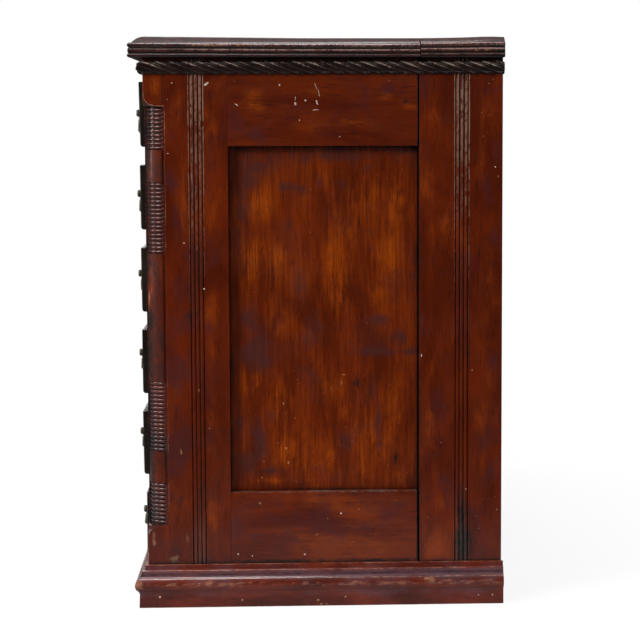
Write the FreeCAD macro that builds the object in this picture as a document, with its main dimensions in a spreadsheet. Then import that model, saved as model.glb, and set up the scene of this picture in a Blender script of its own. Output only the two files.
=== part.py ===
import FreeCAD, Part
import os
import re
from types import SimpleNamespace

# A tabletop spool cabinet with six drawers, in millimetres.
# +Z is up, the front with the drawers faces -Y, and the origin is on the floor
# under the middle of the whole cabinet.

doc = FreeCAD.newDocument("spool_cabinet")

# Driving sizes
driving = {
    "overall_height": 559,
    "carcass_width": 596,
    "carcass_depth": 350,
    "drawer_count": 6,
    # top
    "top_thickness": 19.5,
    "top_overhang": 13.3,
    "top_back_overhang": 0.6,
    "top_front_board": 268.6,
    "back_board_rise": 1,
    # side frames
    "frame_thickness": 22,
    "stile_depth": 82,
    "post_width": 32,
    "post_nose": 40,
    "top_rail_foot": 454,
    "bottom_rail_head": 113,
    "bottom_rail_foot": 12,
    "tenon_length": 25,
    "tenon_thickness": 8,
    "tenon_shoulder": 12,
    "panel_thickness": 8,
    "panel_recess": 8,
    "panel_tongue": 8,
    "reed_pitch": 4.1,
    "reed_depth": 1.6,
    "reed_flank": 0.8,
    "post_reeds_centre": 51,
    "stile_reeds_centre": 40,
    # ribbed corner column
    "column_centre": 286.3,
    "column_square": 20.6,
    "column_radius": 19.4,
    "rib_radius": 18.8,
    "rib_depth": 1.2,
    "rib_pitch": 4.1,
    "plain_half": 62.8,
    "plain_length": 31.4,
    "block_start": 206.2,
    # mouldings
    "rope_foot": 522.9,
    "rope_height": 12.5,
    "rope_reach": 6.2,
    "base_height": 41.6,
    "base_reach": 12.5,
    "base_back_reach": 1.5,
    "mitre_reach": 20,
    # drawers
    "drawer_foot": 44,
    "drawer_pitch": 81.8,
    "front_height": 64,
    "front_thickness": 22,
    "front_proud": 6,
    "last_front_proud": 3.5,
    "front_gap": 0.6,
    "front_lip_radius": 3,
    "drawer_depth": 334,
    "side_thickness": 11,
    "side_height": 56,
    "side_lap": 14,
    "drawer_back_thickness": 9,
    "drawer_back_head": 50,
    "drawer_bottom_thickness": 5,
    "drawer_bottom_lift": 6,
    "drawer_groove": 5,
    "runner_width": 22,
    "runner_gap": 0.4,
    "guide_height": 14,
    "housing": 6,
    # back, bottom and blocks
    "back_board_thickness": 8,
    "back_rebate": 10,
    "back_board_count": 4,
    "bottom_thickness": 8,
    "block_width": 18,
    "block_height": 16,
    "block_length": 60,
    "cleat_side": 20,
    "cleat_length": 100,
    # pulls
    "pull_offset": 168,
    "pull_height": 33.5,
    "post_spacing": 70,
    "plate_thickness": 1.6,
    "plate_half_height": 15,
    "plate_end": 46,
    "pull_reach": 8.3,
    "pivot_reach": 4.4,
    "bail_wire_radius": 1.6,
    "bail_hole_radius": 1.65,
    "bail_arm": 28.6,
    "bail_drop": 17,
    "bail_bend": 6,
    "grip_length": 42,
    "grip_depth": 5,
    "grip_height": 10,
    "pull_neck_radius": 3.9,
    "pull_boss_radius": 5.2,
    "shank_radius": 2,
    "shank_tail": 5,
    "nut_radius": 4.2,
    "nut_thickness": 3,
    # screws
    "screw_radius": 2,
    "screw_head_radius": 4,
    "screw_length": 30,
}

# Places worked out from the driving sizes
given = SimpleNamespace(**driving)
overall_depth = (given.front_proud + given.pull_reach + given.carcass_depth
                 + given.base_back_reach)
front_y = given.front_proud + given.pull_reach - overall_depth / 2
rail_thickness = given.drawer_pitch - given.front_height - 2 * given.front_gap
worked_out = {
    "front_y": front_y,
    "back_y": front_y + given.carcass_depth,
    "half_width": given.carcass_width / 2,
    "carcass_top": given.overall_height - given.top_thickness,
    "rail_thickness": rail_thickness,
    "bay_half_width": given.carcass_width / 2 - given.post_width,
    "inner_face": given.carcass_width / 2 - given.frame_thickness,
    "drawer_half_width": given.carcass_width / 2 - given.post_width - given.front_gap,
    "bottom_board_top": given.drawer_foot - given.front_gap - given.runner_gap / 2
                        - rail_thickness + given.runner_gap,
}

sheet = doc.addObject("Spreadsheet::Sheet", "Sizes")
sizes = {**driving, **worked_out}
for row, (alias, number) in enumerate(sizes.items(), start=1):
    sheet.set("A%d" % row, alias)
    sheet.set("B%d" % row, repr(round(number, 4)))
    sheet.setAlias("B%d" % row, alias)
doc.recompute()
s = SimpleNamespace(**{alias: float(sheet.get(alias)) for alias in sizes})

parts = []


def linked(text):
    """The same formula with every size read from the sheet."""
    return re.sub(r"[a-z_]+", lambda word: "Sizes." + word.group()
                  if word.group() in sizes else word.group(), text)


def bind(thing, **formulas):
    """Bind properties to formulas over the sheet; x, y and z are the placement."""
    for name, text in formulas.items():
        path = ".Placement.Base." + name if name in ("x", "y", "z") else name
        thing.setExpression(path, linked(text))
    return thing


def part(thing, label):
    """Name a finished sub-part, which goes to its own file."""
    thing.Label = label
    parts.append(thing)
    return thing


def board(name, x, y, z, length, width, height):
    """A straight piece of wood from its low corner and its three sizes."""
    box = doc.addObject("Part::Box", name)
    return bind(box, x=x, y=y, z=z, Length=length, Width=width, Height=height)


def cylinder(name, radius, height, x, y, z, axis=(0, 0, 1)):
    rod = doc.addObject("Part::Cylinder", name)
    rod.Placement.Rotation = FreeCAD.Rotation(FreeCAD.Vector(0, 0, 1), FreeCAD.Vector(*axis))
    return bind(rod, Radius=radius, Height=height, x=x, y=y, z=z)


def cut(name, base, tools):
    """One piece with every tool taken out of it."""
    tool = tools[0] if len(tools) == 1 else joined(name + "_tools", tools)
    piece = doc.addObject("Part::Cut", name)
    piece.Base, piece.Tool = base, tool
    return piece


def joined(name, pieces):
    piece = doc.addObject("Part::MultiFuse", name)
    piece.Shapes = pieces
    return piece


def shared(name, pieces):
    piece = doc.addObject("Part::MultiCommon", name)
    piece.Shapes = pieces
    return piece


def group(name, pieces):
    """Separate solids of one kind, kept side by side."""
    piece = doc.addObject("Part::Compound", name)
    piece.Links = pieces
    return piece


def mirrored(name, source):
    """The same piece for the left side."""
    piece = doc.addObject("Part::Mirroring", name)
    piece.Source = source
    piece.Normal = FreeCAD.Vector(1, 0, 0)
    return piece


def sketched_body(name, plane, outline):
    """A body with one closed sketch on an origin plane.

    The outline is a list of points; a step of two points is an arc through the
    first to the second.
    """
    body = doc.addObject("PartDesign::Body", name)
    sketch = body.newObject("Sketcher::SketchObject", name + "_sketch")
    origin = {item.Role: item for item in body.Origin.OriginFeatures}
    sketch.AttachmentSupport = [(origin[plane], "")]
    sketch.MapMode = "FlatFace"
    here = outline[0]
    for step in outline[1:] + [outline[0]]:
        start = FreeCAD.Vector(here[0], here[1], 0)
        if isinstance(step[0], tuple):
            middle, end = (FreeCAD.Vector(p[0], p[1], 0) for p in step)
            sketch.addGeometry(Part.Arc(start, middle, end))
            here = step[1]
        else:
            if here == step:
                continue
            sketch.addGeometry(Part.LineSegment(start, FreeCAD.Vector(step[0], step[1], 0)))
            here = step
    return body, sketch


def padded(name, plane, outline, length, both_ways=False, against=False):
    body, sketch = sketched_body(name, plane, outline)
    pad = body.newObject("PartDesign::Pad", name + "_pad")
    pad.Profile = sketch
    pad.Midplane = both_ways
    pad.Reversed = against
    bind(pad, Length=length)
    body.Tip = pad
    return body


def turned(name, plane, outline, axis="V_Axis"):
    body, sketch = sketched_body(name, plane, outline)
    turn = body.newObject("PartDesign::Revolution", name + "_turn")
    turn.Profile = sketch
    turn.ReferenceAxis = (sketch, [axis])
    turn.Angle = 360
    body.Tip = turn
    return body


# Side frames: front post, back stile, two rails and a sunk panel a side

def reeded_face(face, first, direction):
    """Four grooves with three round reeds between them, along one stile face."""
    steps = [(face, first - direction * s.reed_flank), (face - s.reed_depth, first)]
    for reed in range(3):
        crest = first + direction * s.reed_pitch * (reed + 0.5)
        foot = first + direction * s.reed_pitch * (reed + 1)
        steps.append(((face, crest), (face - s.reed_depth, foot)))
    steps.append((face, first + direction * (3 * s.reed_pitch + s.reed_flank)))
    return steps


def column_outline():
    """Half section of the corner column: blocks, ribs and plain lengths."""
    block_radius = 1.46 * s.column_square
    plain_ends = s.plain_half + 17 * s.rib_pitch
    ribbed_again = plain_ends + s.plain_length

    def ribs(height, count):
        steps = [(s.rib_radius - s.rib_depth, height)]
        for rib in range(count):
            crest = (s.rib_radius, height + (rib + 0.5) * s.rib_pitch)
            foot = (s.rib_radius - s.rib_depth, height + (rib + 1) * s.rib_pitch)
            steps.append((crest, foot))
        return steps

    def plain(low, high):
        return [(s.column_radius, low), (s.column_radius, high)]

    middle = s.column_centre
    shoulder_bow = (26, 209.4 - s.block_start)
    outline = [(0, 0), (block_radius, 0), (block_radius, middle - s.block_start - 13)]
    outline.append(((shoulder_bow[0], middle - s.block_start - shoulder_bow[1]),
                    (s.rib_radius, middle - s.block_start)))
    outline += ribs(middle - ribbed_again - 10 * s.rib_pitch, 10)
    outline += plain(middle - ribbed_again, middle - plain_ends)
    outline += ribs(middle - plain_ends, 17)
    outline += plain(middle - s.plain_half, middle + s.plain_half)
    outline += ribs(middle + s.plain_half, 17)
    outline += plain(middle + plain_ends, middle + ribbed_again)
    outline += ribs(middle + ribbed_again, 10)
    outline.append((s.rib_radius, middle + s.block_start))
    outline.append(((shoulder_bow[0], middle + s.block_start + shoulder_bow[1]),
                    (block_radius, middle + s.block_start + 13)))
    outline += [(block_radius, s.carcass_top), (0, s.carcass_top)]
    return outline


def mortises(name, low_y):
    """Slots for the four rail tenons' ends in one upright, and the panel groove."""
    centre_x = "half_width - frame_thickness / 2 - tenon_thickness / 2"
    slots = []
    for rail, foot, head in (("top", "top_rail_foot", "carcass_top"),
                             ("bottom", "bottom_rail_foot", "bottom_rail_head")):
        slots.append(board("%s_%s_slot" % (name, rail), centre_x, low_y,
                           foot + " + tenon_shoulder", "tenon_thickness", "tenon_length",
                           head + " - " + foot + " - 2 * tenon_shoulder"))
    return slots


panel_x = "half_width - panel_recess - panel_thickness"
front_opening = "front_y + stile_depth"
back_opening = "back_y - stile_depth"

nose_inner, frame_inner = s.bay_half_width, s.inner_face
first_reed = s.front_y + s.post_reeds_centre - 1.5 * s.reed_pitch
corner_y = s.front_y + s.column_square
corner_x = s.half_width - s.column_square
post_back = s.front_y + s.stile_depth
post_outline = [(nose_inner, s.front_y), (corner_x, s.front_y), (corner_x, corner_y),
                (s.half_width, corner_y)]
post_outline += reeded_face(s.half_width, first_reed, 1)
post_outline += [(s.half_width, post_back), (frame_inner, post_back),
                 (frame_inner, s.front_y + s.post_nose), (nose_inner, s.front_y + s.post_nose)]
post_blank = padded("post_blank", "XY_Plane", post_outline, "carcass_top")

column = turned("column", "XZ_Plane", column_outline())
bind(column, x="half_width - column_square", y="front_y + column_square")
column_corner = board("column_corner", "half_width - column_square", "front_y", "0",
                      "column_square", "column_square", "carcass_top")
carved_corner = shared("carved_corner", [column, column_corner])
whole_post = joined("whole_post", [post_blank, carved_corner])

housings = []
rail_feet = ["drawer_foot - front_gap - rail_thickness + %d * drawer_pitch" % bay
             for bay in range(int(s.drawer_count))]
for bay, foot in enumerate(rail_feet):
    housings.append(board("housing_%d" % bay, "bay_half_width", "front_y", foot,
                          "housing", "post_nose", "rail_thickness"))
front_groove = board("front_panel_groove", panel_x, front_opening + " - panel_tongue",
                     "bottom_rail_head - panel_tongue", "panel_thickness", "panel_tongue",
                     "top_rail_foot - bottom_rail_head + 2 * panel_tongue")
front_post = cut("front_post", whole_post, housings + [front_groove]
                 + mortises("post", front_opening + " - tenon_length"))
part(front_post, "front_post_right")
part(mirrored("front_post_mirror", front_post), "front_post_left")

last_reed = s.back_y - s.stile_reeds_centre + 1.5 * s.reed_pitch
stile_front = s.back_y - s.stile_depth
stile_outline = [(frame_inner, stile_front), (frame_inner, s.back_y - s.back_board_thickness),
                 (frame_inner + s.back_rebate, s.back_y - s.back_board_thickness),
                 (frame_inner + s.back_rebate, s.back_y), (s.half_width, s.back_y)]
stile_outline += reeded_face(s.half_width, last_reed, -1)
stile_outline += [(s.half_width, stile_front)]
stile_blank = padded("stile_blank", "XY_Plane", stile_outline, "carcass_top")
back_groove = board("back_panel_groove", panel_x, back_opening,
                    "bottom_rail_head - panel_tongue", "panel_thickness", "panel_tongue",
                    "top_rail_foot - bottom_rail_head + 2 * panel_tongue")
back_stile = cut("back_stile", stile_blank, [back_groove] + mortises("stile", back_opening))
part(back_stile, "back_stile_right")
part(mirrored("back_stile_mirror", back_stile), "back_stile_left")

opening_width = "carcass_depth - 2 * stile_depth"
rails = []
for rail, foot, head, groove in (
        ("top", "top_rail_foot", "carcass_top", "top_rail_foot"),
        ("bottom", "bottom_rail_foot", "bottom_rail_head", "bottom_rail_head - panel_tongue")):
    height = head + " - " + foot
    middle_rail = board(rail + "_rail_board", "inner_face", front_opening, foot,
                        "frame_thickness", opening_width, height)
    tenons = board(rail + "_rail_tenons",
                   "half_width - frame_thickness / 2 - tenon_thickness / 2",
                   front_opening + " - tenon_length", foot + " + tenon_shoulder",
                   "tenon_thickness", opening_width + " + 2 * tenon_length",
                   height + " - 2 * tenon_shoulder")
    rail_groove = board(rail + "_rail_groove", panel_x, front_opening, groove,
                        "panel_thickness", opening_width, "panel_tongue")
    rails.append(cut(rail + "_rail", joined(rail + "_rail_whole", [middle_rail, tenons]),
                     [rail_groove]))
side_rails = part(group("side_rails", rails), "side_rails_right")
part(mirrored("side_rails_mirror", side_rails), "side_rails_left")

side_panel = board("side_panel", panel_x, front_opening + " - panel_tongue",
                   "bottom_rail_head - panel_tongue", "panel_thickness",
                   opening_width + " + 2 * panel_tongue",
                   "top_rail_foot - bottom_rail_head + 2 * panel_tongue")
part(side_panel, "side_panel_right")
part(mirrored("side_panel_mirror", side_panel), "side_panel_left")


# Front rails between the posts, above, between and below the drawers

front_rails = []
for bay, foot in enumerate(rail_feet):
    front_rails.append(board("front_rail_%d" % (bay + 1), "-bay_half_width - housing",
                             "front_y", foot, "2 * bay_half_width + 2 * housing",
                             "post_nose", "rail_thickness"))
over_drawers = "drawer_foot + (drawer_count - 1) * drawer_pitch + front_height + front_gap"
front_rails.append(board("front_head_rail", "-bay_half_width", "front_y", over_drawers,
                         "2 * bay_half_width", "post_nose",
                         "carcass_top - (" + over_drawers + ")"))
part(group("rails_of_front", front_rails), "front_rails")


# Runners and guides that the drawers slide on

runners = []
runner_start = "front_y + post_nose"
runner_length = "carcass_depth - post_nose - back_board_thickness"
for bay in range(int(s.drawer_count)):
    foot = "drawer_foot + %d * drawer_pitch - front_gap / 2 - runner_gap / 2" % bay
    for side, runner_x, guide_x in (("right", "inner_face - runner_width", "bay_half_width"),
                                    ("left", "-inner_face", "-inner_face")):
        runners.append(board("runner_%s_%d" % (side, bay), runner_x, runner_start,
                             foot + " - rail_thickness + runner_gap", "runner_width",
                             runner_length, "rail_thickness - runner_gap"))
        runners.append(board("guide_%s_%d" % (side, bay), guide_x, runner_start, foot,
                             "inner_face - bay_half_width", runner_length, "guide_height"))
part(group("runners", runners), "drawer_runners")


# Back boards in the stiles' rebates, and the bottom board

back_width = "(2 * inner_face + 2 * back_rebate) / back_board_count"
back_boards = []
for number in range(int(s.back_board_count)):
    back_boards.append(board("back_board_%d" % (number + 1),
                             "-inner_face - back_rebate + %d * %s" % (number, back_width),
                             "back_y - back_board_thickness", "0", back_width,
                             "back_board_thickness", "carcass_top"))
part(group("boards_of_back", back_boards), "back_boards")

part(board("floor_board", "-inner_face", "front_y + post_nose",
           "bottom_board_top - bottom_thickness", "2 * inner_face",
           "carcass_depth - post_nose - back_board_thickness", "bottom_thickness"),
     "bottom_board")


# Glue blocks under the bottom board and cleats under the top, with their screws

blocks = []
cleats = []
screws = []
holes = []
screw_outline = [(0, 0), (s.screw_head_radius, 0), (s.screw_radius, 2.4),
                 (s.screw_radius, s.screw_length - 5), (0, s.screw_length)]
hole_outline = [(0, -1), (s.screw_head_radius, -1), (s.screw_head_radius, 0),
                (s.screw_radius, 2.4), (s.screw_radius, s.screw_length - 5),
                (0, s.screw_length)]
cleat_z = "carcass_top - cleat_side"
for side, block_x, cleat_x in (("right", "inner_face - block_width", "inner_face - cleat_side"),
                               ("left", "-inner_face", "-inner_face")):
    for place, start in enumerate(("post_nose + 10", "(carcass_depth - block_length) / 2",
                                   "carcass_depth - block_length - 20")):
        blocks.append(board("block_%s_%d" % (side, place), block_x, "front_y + " + start,
                            "bottom_board_top - bottom_thickness - block_height",
                            "block_width", "block_length", "block_height"))
    for place, start in enumerate(("post_nose + 10", "carcass_depth - cleat_length - 20")):
        cleat = board("cleat_%s_%d" % (side, place), cleat_x, "front_y + " + start, cleat_z,
                      "cleat_side", "cleat_length", "cleat_side")
        holes_here = []
        for end, share in enumerate((0.2, 0.8)):
            name = "%s_%d_%d" % (side, place, end)
            for kind, outline, found in (("screw", screw_outline, screws),
                                         ("hole", hole_outline, holes_here)):
                body = turned("%s_%s" % (kind, name), "XZ_Plane", outline)
                bind(body, x=cleat_x + " + cleat_side / 2",
                     y="front_y + " + start + " + %g * cleat_length" % share, z=cleat_z)
                found.append(body)
        cleats.append(cut("drilled_cleat_%s_%d" % (side, place), cleat, holes_here))
        holes += holes_here
part(group("blocks_and_cleats", blocks + cleats), "glue_blocks")
part(group("screws_of_top", screws), "top_screws")


# Top: a wide front board and a narrow back board with one moulded edge

def edge_profile(side, rise):
    """Bevel and three beads, from the upper face down, at one end of the board."""
    top = s.overall_height + rise
    points = [(-2.5 - 2 * rise, top), (9.0, 554.2), ((13.0, 551.8), (11.4, 548.9)),
              ((12.8, 546.7), (11.6, 544.4)), ((s.top_overhang, 542.0), (12.0, s.carcass_top))]

    def moved(step):
        if isinstance(step[0], tuple):
            return tuple(moved(point) for point in step)
        return (side * step[0], step[1])
    return [moved(step) for step in points]


def shifted(steps, distance):
    """The same steps moved along the sketch's first axis."""
    moved = []
    for step in steps:
        if isinstance(step[0], tuple):
            moved.append(tuple((a + distance, b) for a, b in step))
        else:
            moved.append((step[0] + distance, step[1]))
    return moved


def turned_back(steps):
    """The same outline walked the other way, arcs included."""
    points = [step[1] if isinstance(step[0], tuple) else step for step in steps]
    back = [points[-1]]
    for index in range(len(steps) - 1, 0, -1):
        if isinstance(steps[index][0], tuple):
            back.append((steps[index][0], points[index - 1]))
        else:
            back.append(points[index - 1])
    return back


def top_section(rise):
    """The top seen from the front, moulded at both ends."""
    right = shifted(edge_profile(1, rise), s.half_width)
    left = shifted(edge_profile(-1, rise), -s.half_width)
    return right + turned_back(left)


joint_y = s.front_y + s.top_front_board
across = padded("top_across", "XZ_Plane", top_section(0),
                "top_front_board + mitre_reach", against=True)
bind(across, y="front_y - mitre_reach")
front_edge = shifted(edge_profile(-1, 0), s.front_y)
along = padded("top_along", "YZ_Plane",
               [(joint_y, s.overall_height)] + front_edge + [(joint_y, s.carcass_top)],
               "carcass_width + 2 * mitre_reach", both_ways=True)
top_front = shared("top_front", [across, along])
part(cut("drilled_top_front", top_front, holes), "top_front_board")
top_back = padded("top_back", "XZ_Plane", top_section(s.back_board_rise),
                  "carcass_depth - top_front_board + top_back_overhang", against=True)
bind(top_back, y="front_y + top_front_board")
part(cut("drilled_top_back", top_back, holes), "top_back_board")


# Rope and base mouldings: three strips each, mitred at the front corners

def mitred_strips(name, profile, back_y):
    """Front, right and left strips of one moulding; the profile is (reach, height)."""
    corner, wide = s.half_width, s.half_width + s.mitre_reach
    near, out = s.front_y, s.front_y - s.mitre_reach
    plans = {
        "front": [(-corner, near), (-wide, out), (wide, out), (corner, near)],
        "right": [(corner, near), (wide, out), (wide, back_y), (corner, back_y)],
        "left": [(-corner, near), (-corner, back_y), (-wide, back_y), (-wide, out)],
    }
    right = shifted(profile, s.half_width)
    sections = {
        "front": ("YZ_Plane", shifted(flipped(profile), s.front_y)),
        "right": ("XZ_Plane", right),
        "left": ("XZ_Plane", flipped(right)),
    }
    strips = []
    for side, plan in plans.items():
        plane, outline = sections[side]
        strip = padded("%s_%s_strip" % (name, side), plane, outline,
                       "2 * carcass_width", both_ways=True)
        mitre = padded("%s_%s_plan" % (name, side), "XY_Plane", plan, "overall_height")
        strips.append(shared("%s_%s" % (name, side), [strip, mitre]))
    return strips


def flipped(steps):
    """The same outline mirrored left to right."""
    mirror = []
    for step in steps:
        if isinstance(step[0], tuple):
            mirror.append(tuple((-a, b) for a, b in step))
        else:
            mirror.append((-step[0], step[1]))
    return mirror


rope_profile = [(0, s.rope_foot),
                ((s.rope_reach, s.rope_foot + s.rope_height / 2),
                 (0, s.rope_foot + s.rope_height))]
part(group("ropes", mitred_strips("rope", rope_profile, s.back_y)), "rope_mouldings")

base_profile = [(0, 0), (8.6, 0), (8.4, 12.2), ((9.0, 16.2), (11.0, 18.4)),
                ((s.base_reach, 24.6), (9.4, 29.8)), ((6.9, 31.8), (5.2, 35.4)),
                (4.2, 36.4), (3.4, s.base_height), (0, s.base_height)]
part(group("bases", mitred_strips("base", base_profile, s.back_y + s.base_back_reach)),
     "base_mouldings")


# Pulls: cast back plate, two posts with nuts, and the bail

half = s.post_spacing / 2
high, end = s.plate_half_height, s.plate_end
plate_outline = [(-end, 0), ((-43, 7.5), (-35, 10)), ((-24, 10.6), (-16, 11)),
                 ((0, high), (16, 11)), ((24, 10.6), (35, 10)), ((43, 7.5), (end, 0)),
                 ((43, -7.5), (35, -10)), ((24, -10.6), (16, -11)), ((0, -high), (-16, -11)),
                 ((-24, -10.6), (-35, -10)), ((-43, -7.5), (-end, 0))]
plate_blank = padded("plate_blank", "XZ_Plane", plate_outline, "plate_thickness")

tail = -s.front_thickness - s.nut_thickness - s.shank_tail
neck_head = s.pull_reach - 2.2
head_flat = 0.8
post_section = [(0, -tail), (s.shank_radius, -tail), (s.shank_radius, -s.plate_thickness),
                (s.pull_boss_radius, -s.plate_thickness), (s.pull_boss_radius, -2.5),
                (s.pull_neck_radius, -2.9), (s.pull_neck_radius, -neck_head),
                ((2.8, -s.pull_reach + 0.7), (head_flat, -s.pull_reach)),
                (0, -s.pull_reach)]
nut_section = [(s.nut_radius, 0), (s.nut_radius / 2, 0.866 * s.nut_radius),
               (-s.nut_radius / 2, 0.866 * s.nut_radius), (-s.nut_radius, 0),
               (-s.nut_radius / 2, -0.866 * s.nut_radius),
               (s.nut_radius / 2, -0.866 * s.nut_radius)]
hardware = []
plate_holes = []
for side, name in ((-1, "left"), (1, "right")):
    post_body = turned("pull_post_blank_" + name, "XY_Plane", post_section)
    bind(post_body, x="%d * post_spacing / 2" % side)
    bail_hole = cylinder("bail_hole_" + name, "bail_hole_radius", "pull_neck_radius + 1",
                         "%d * (post_spacing / 2 - 0.4)" % side, "-pivot_reach", "0",
                         axis=(-side, 0, 0))
    hardware.append(cut("pull_post_" + name, post_body, [bail_hole]))
    plate_holes.append(cylinder("plate_hole_" + name, "shank_radius", "3 * plate_thickness",
                                "%d * post_spacing / 2" % side, "plate_thickness", "0",
                                axis=(0, -1, 0)))
    nut_blank = padded("nut_blank_" + name, "XZ_Plane", nut_section, "nut_thickness",
                       against=True)
    bind(nut_blank, x="%d * post_spacing / 2" % side, y="front_thickness")
    nut_hole = cylinder("nut_hole_" + name, "shank_radius", "2 * nut_thickness",
                        "%d * post_spacing / 2" % side,
                        "front_thickness + 1.5 * nut_thickness", "0", axis=(0, -1, 0))
    hardware.append(cut("nut_" + name, nut_blank, [nut_hole]))
hardware.append(cut("pull_plate", plate_blank, plate_holes))

arm, drop, bend = s.bail_arm, s.bail_drop, s.bail_bend
wire = s.bail_wire_radius
small_bend = 1.5 * wire
diagonal = 1 - 2 ** -0.5
bail_body = doc.addObject("PartDesign::Body", "bail_wire")
bail_origin = {item.Role: item for item in bail_body.Origin.OriginFeatures}
bail_path = bail_body.newObject("Sketcher::SketchObject", "bail_path")
bail_path.AttachmentSupport = [(bail_origin["XZ_Plane"], "")]
bail_path.MapMode = "FlatFace"
half_path = [(half - 1, 0), (arm + small_bend, 0),
             ((arm + diagonal * small_bend, -diagonal * small_bend), (arm, -small_bend)),
             (arm, bend - drop),
             ((arm - diagonal * bend, diagonal * bend - drop), (arm - bend, -drop))]
whole_path = half_path + turned_back(flipped(half_path))
here = whole_path[0]
for step in whole_path[1:]:
    if isinstance(step[0], tuple):
        through, there = step
        bail_path.addGeometry(Part.Arc(FreeCAD.Vector(*here, 0), FreeCAD.Vector(*through, 0),
                                       FreeCAD.Vector(*there, 0)))
    else:
        there = step
        bail_path.addGeometry(Part.LineSegment(FreeCAD.Vector(*here, 0),
                                               FreeCAD.Vector(*there, 0)))
    here = there
bail_section = bail_body.newObject("Sketcher::SketchObject", "bail_section")
bail_section.AttachmentSupport = [(bail_origin["YZ_Plane"], "")]
bail_section.MapMode = "FlatFace"
bail_section.AttachmentOffset = FreeCAD.Placement(FreeCAD.Vector(0, 0, half - 1),
                                                  FreeCAD.Rotation())
bail_section.addGeometry(Part.Circle(FreeCAD.Vector(0, 0, 0), FreeCAD.Vector(0, 0, 1), wire))
bail_pipe = bail_body.newObject("PartDesign::AdditivePipe", "bail_pipe")
bail_pipe.Profile = bail_section
bail_pipe.Spine = (bail_path, ["Edge%d" % (n + 1) for n in range(len(whole_path) - 1)])
bail_body.Tip = bail_pipe

grip_y, grip_z = s.grip_depth / 2, s.grip_height / 2
grip_outline = [(0, -grip_z), ((grip_y, 0), (0, grip_z)), ((-grip_y, 0), (0, -grip_z))]
bail_grip = padded("bail_grip", "YZ_Plane", grip_outline, "grip_length", both_ways=True)
bind(bail_grip, z="-bail_drop", y="-0.6")
bail_master = joined("bail_master", [bail_body, bail_grip])
doc.recompute()


def copies(name, sources, places):
    """Copies of ready pieces at several places, read from the sheet."""
    solids = []
    for x, y, z in places:
        for source in sources:
            copy = source.Shape.copy()
            copy.translate(FreeCAD.Vector(x, y, z))
            solids.append(copy)
    piece = doc.addObject("Part::Feature", name)
    piece.Shape = solids[0] if len(solids) == 1 else Part.makeCompound(solids)
    return piece


# Drawers, numbered from the top

for number in range(1, int(s.drawer_count) + 1):
    drawer = "drawer_%d" % number
    foot = "drawer_foot + %d * drawer_pitch" % (s.drawer_count - number)
    last = number == s.drawer_count
    proud = "last_front_proud" if last else "front_proud"
    face = "front_y - " + proud
    front_back = face + " + front_thickness"
    tail_end = face + " + drawer_depth"
    side_x = "drawer_half_width - side_thickness"

    blank = board(drawer + "_front_blank", "-drawer_half_width", face, foot,
                  "2 * drawer_half_width", "front_thickness", "front_height")
    doc.recompute()
    eased = doc.addObject("Part::Fillet", drawer + "_front_eased")
    eased.Base = blank
    edges = []
    for index, edge in enumerate(blank.Shape.Edges, start=1):
        box = edge.BoundBox
        if box.XLength > 1 and box.YMax < blank.Shape.BoundBox.YMin + 1:
            low_edge = box.ZMax < blank.Shape.BoundBox.Center.z
            radius = s.front_lip_radius if low_edge else 1.0
            edges.append((index, radius, radius))
    eased.Edges = edges
    laps = []
    for side, lap_x in (("right", side_x), ("left", "-drawer_half_width")):
        laps.append(board("%s_lap_%s" % (drawer, side), lap_x, front_back + " - side_lap",
                          foot, "side_thickness", "side_lap", "side_height"))
    laps.append(board(drawer + "_front_groove", "-drawer_half_width + side_thickness"
                      " - drawer_groove", front_back + " - drawer_groove",
                      foot + " + drawer_bottom_lift",
                      "2 * (drawer_half_width - side_thickness + drawer_groove)",
                      "drawer_groove", "drawer_bottom_thickness"))
    for pull in (-1, 1):
        for post in (-0.5, 0.5):
            laps.append(cylinder("%s_bore_%d_%d" % (drawer, pull, 2 * post), "shank_radius",
                                 "2 * front_thickness",
                                 "%d * pull_offset + %g * post_spacing" % (pull, post),
                                 front_back + " + front_thickness / 2",
                                 foot + " + pull_height", axis=(0, -1, 0)))
    part(cut(drawer + "_front_board", eased, laps), drawer + "_front")

    sides = []
    for side, low_x, groove_x in (
            ("right", side_x, side_x),
            ("left", "-drawer_half_width", "-drawer_half_width + side_thickness"
             " - drawer_groove")):
        blank_side = board("%s_side_blank_%s" % (drawer, side), low_x,
                           front_back + " - side_lap", foot, "side_thickness",
                           "drawer_depth - front_thickness + side_lap", "side_height")
        groove = board("%s_side_groove_%s" % (drawer, side), groove_x,
                       front_back + " - drawer_groove", foot + " + drawer_bottom_lift",
                       "drawer_groove", "drawer_depth - front_thickness + drawer_groove",
                       "drawer_bottom_thickness")
        sides.append(cut("%s_side_%s" % (drawer, side), blank_side, [groove]))
    part(group(drawer + "_side_pair", sides), drawer + "_sides")

    back_foot = "drawer_bottom_lift + drawer_bottom_thickness"
    part(board(drawer + "_back_board", "-drawer_half_width + side_thickness",
               tail_end + " - drawer_back_thickness", foot + " + " + back_foot,
               "2 * (drawer_half_width - side_thickness)", "drawer_back_thickness",
               "drawer_back_head - (" + back_foot + ")"), drawer + "_back")
    part(board(drawer + "_bottom_board", "-drawer_half_width + side_thickness - drawer_groove",
               front_back + " - drawer_groove", foot + " + drawer_bottom_lift",
               "2 * (drawer_half_width - side_thickness + drawer_groove)",
               "drawer_depth - front_thickness + drawer_groove", "drawer_bottom_thickness"),
         drawer + "_bottom")

    face_y = s.front_y - (s.last_front_proud if last else s.front_proud)
    pull_z = s.drawer_foot + (s.drawer_count - number) * s.drawer_pitch + s.pull_height
    places = [(side * s.pull_offset, face_y, pull_z) for side in (-1, 1)]
    part(copies(drawer + "_hardware", hardware, places), drawer + "_pull_plates")
    for side_name, (x, y, z) in zip(("left", "right"), places):
        part(copies("%s_bail_copy_%s" % (drawer, side_name), [bail_master],
                    [(x, y - s.pivot_reach, z)]), "%s_bail_%s" % (drawer, side_name))


# Check every object, then write one file for each sub-part

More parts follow.
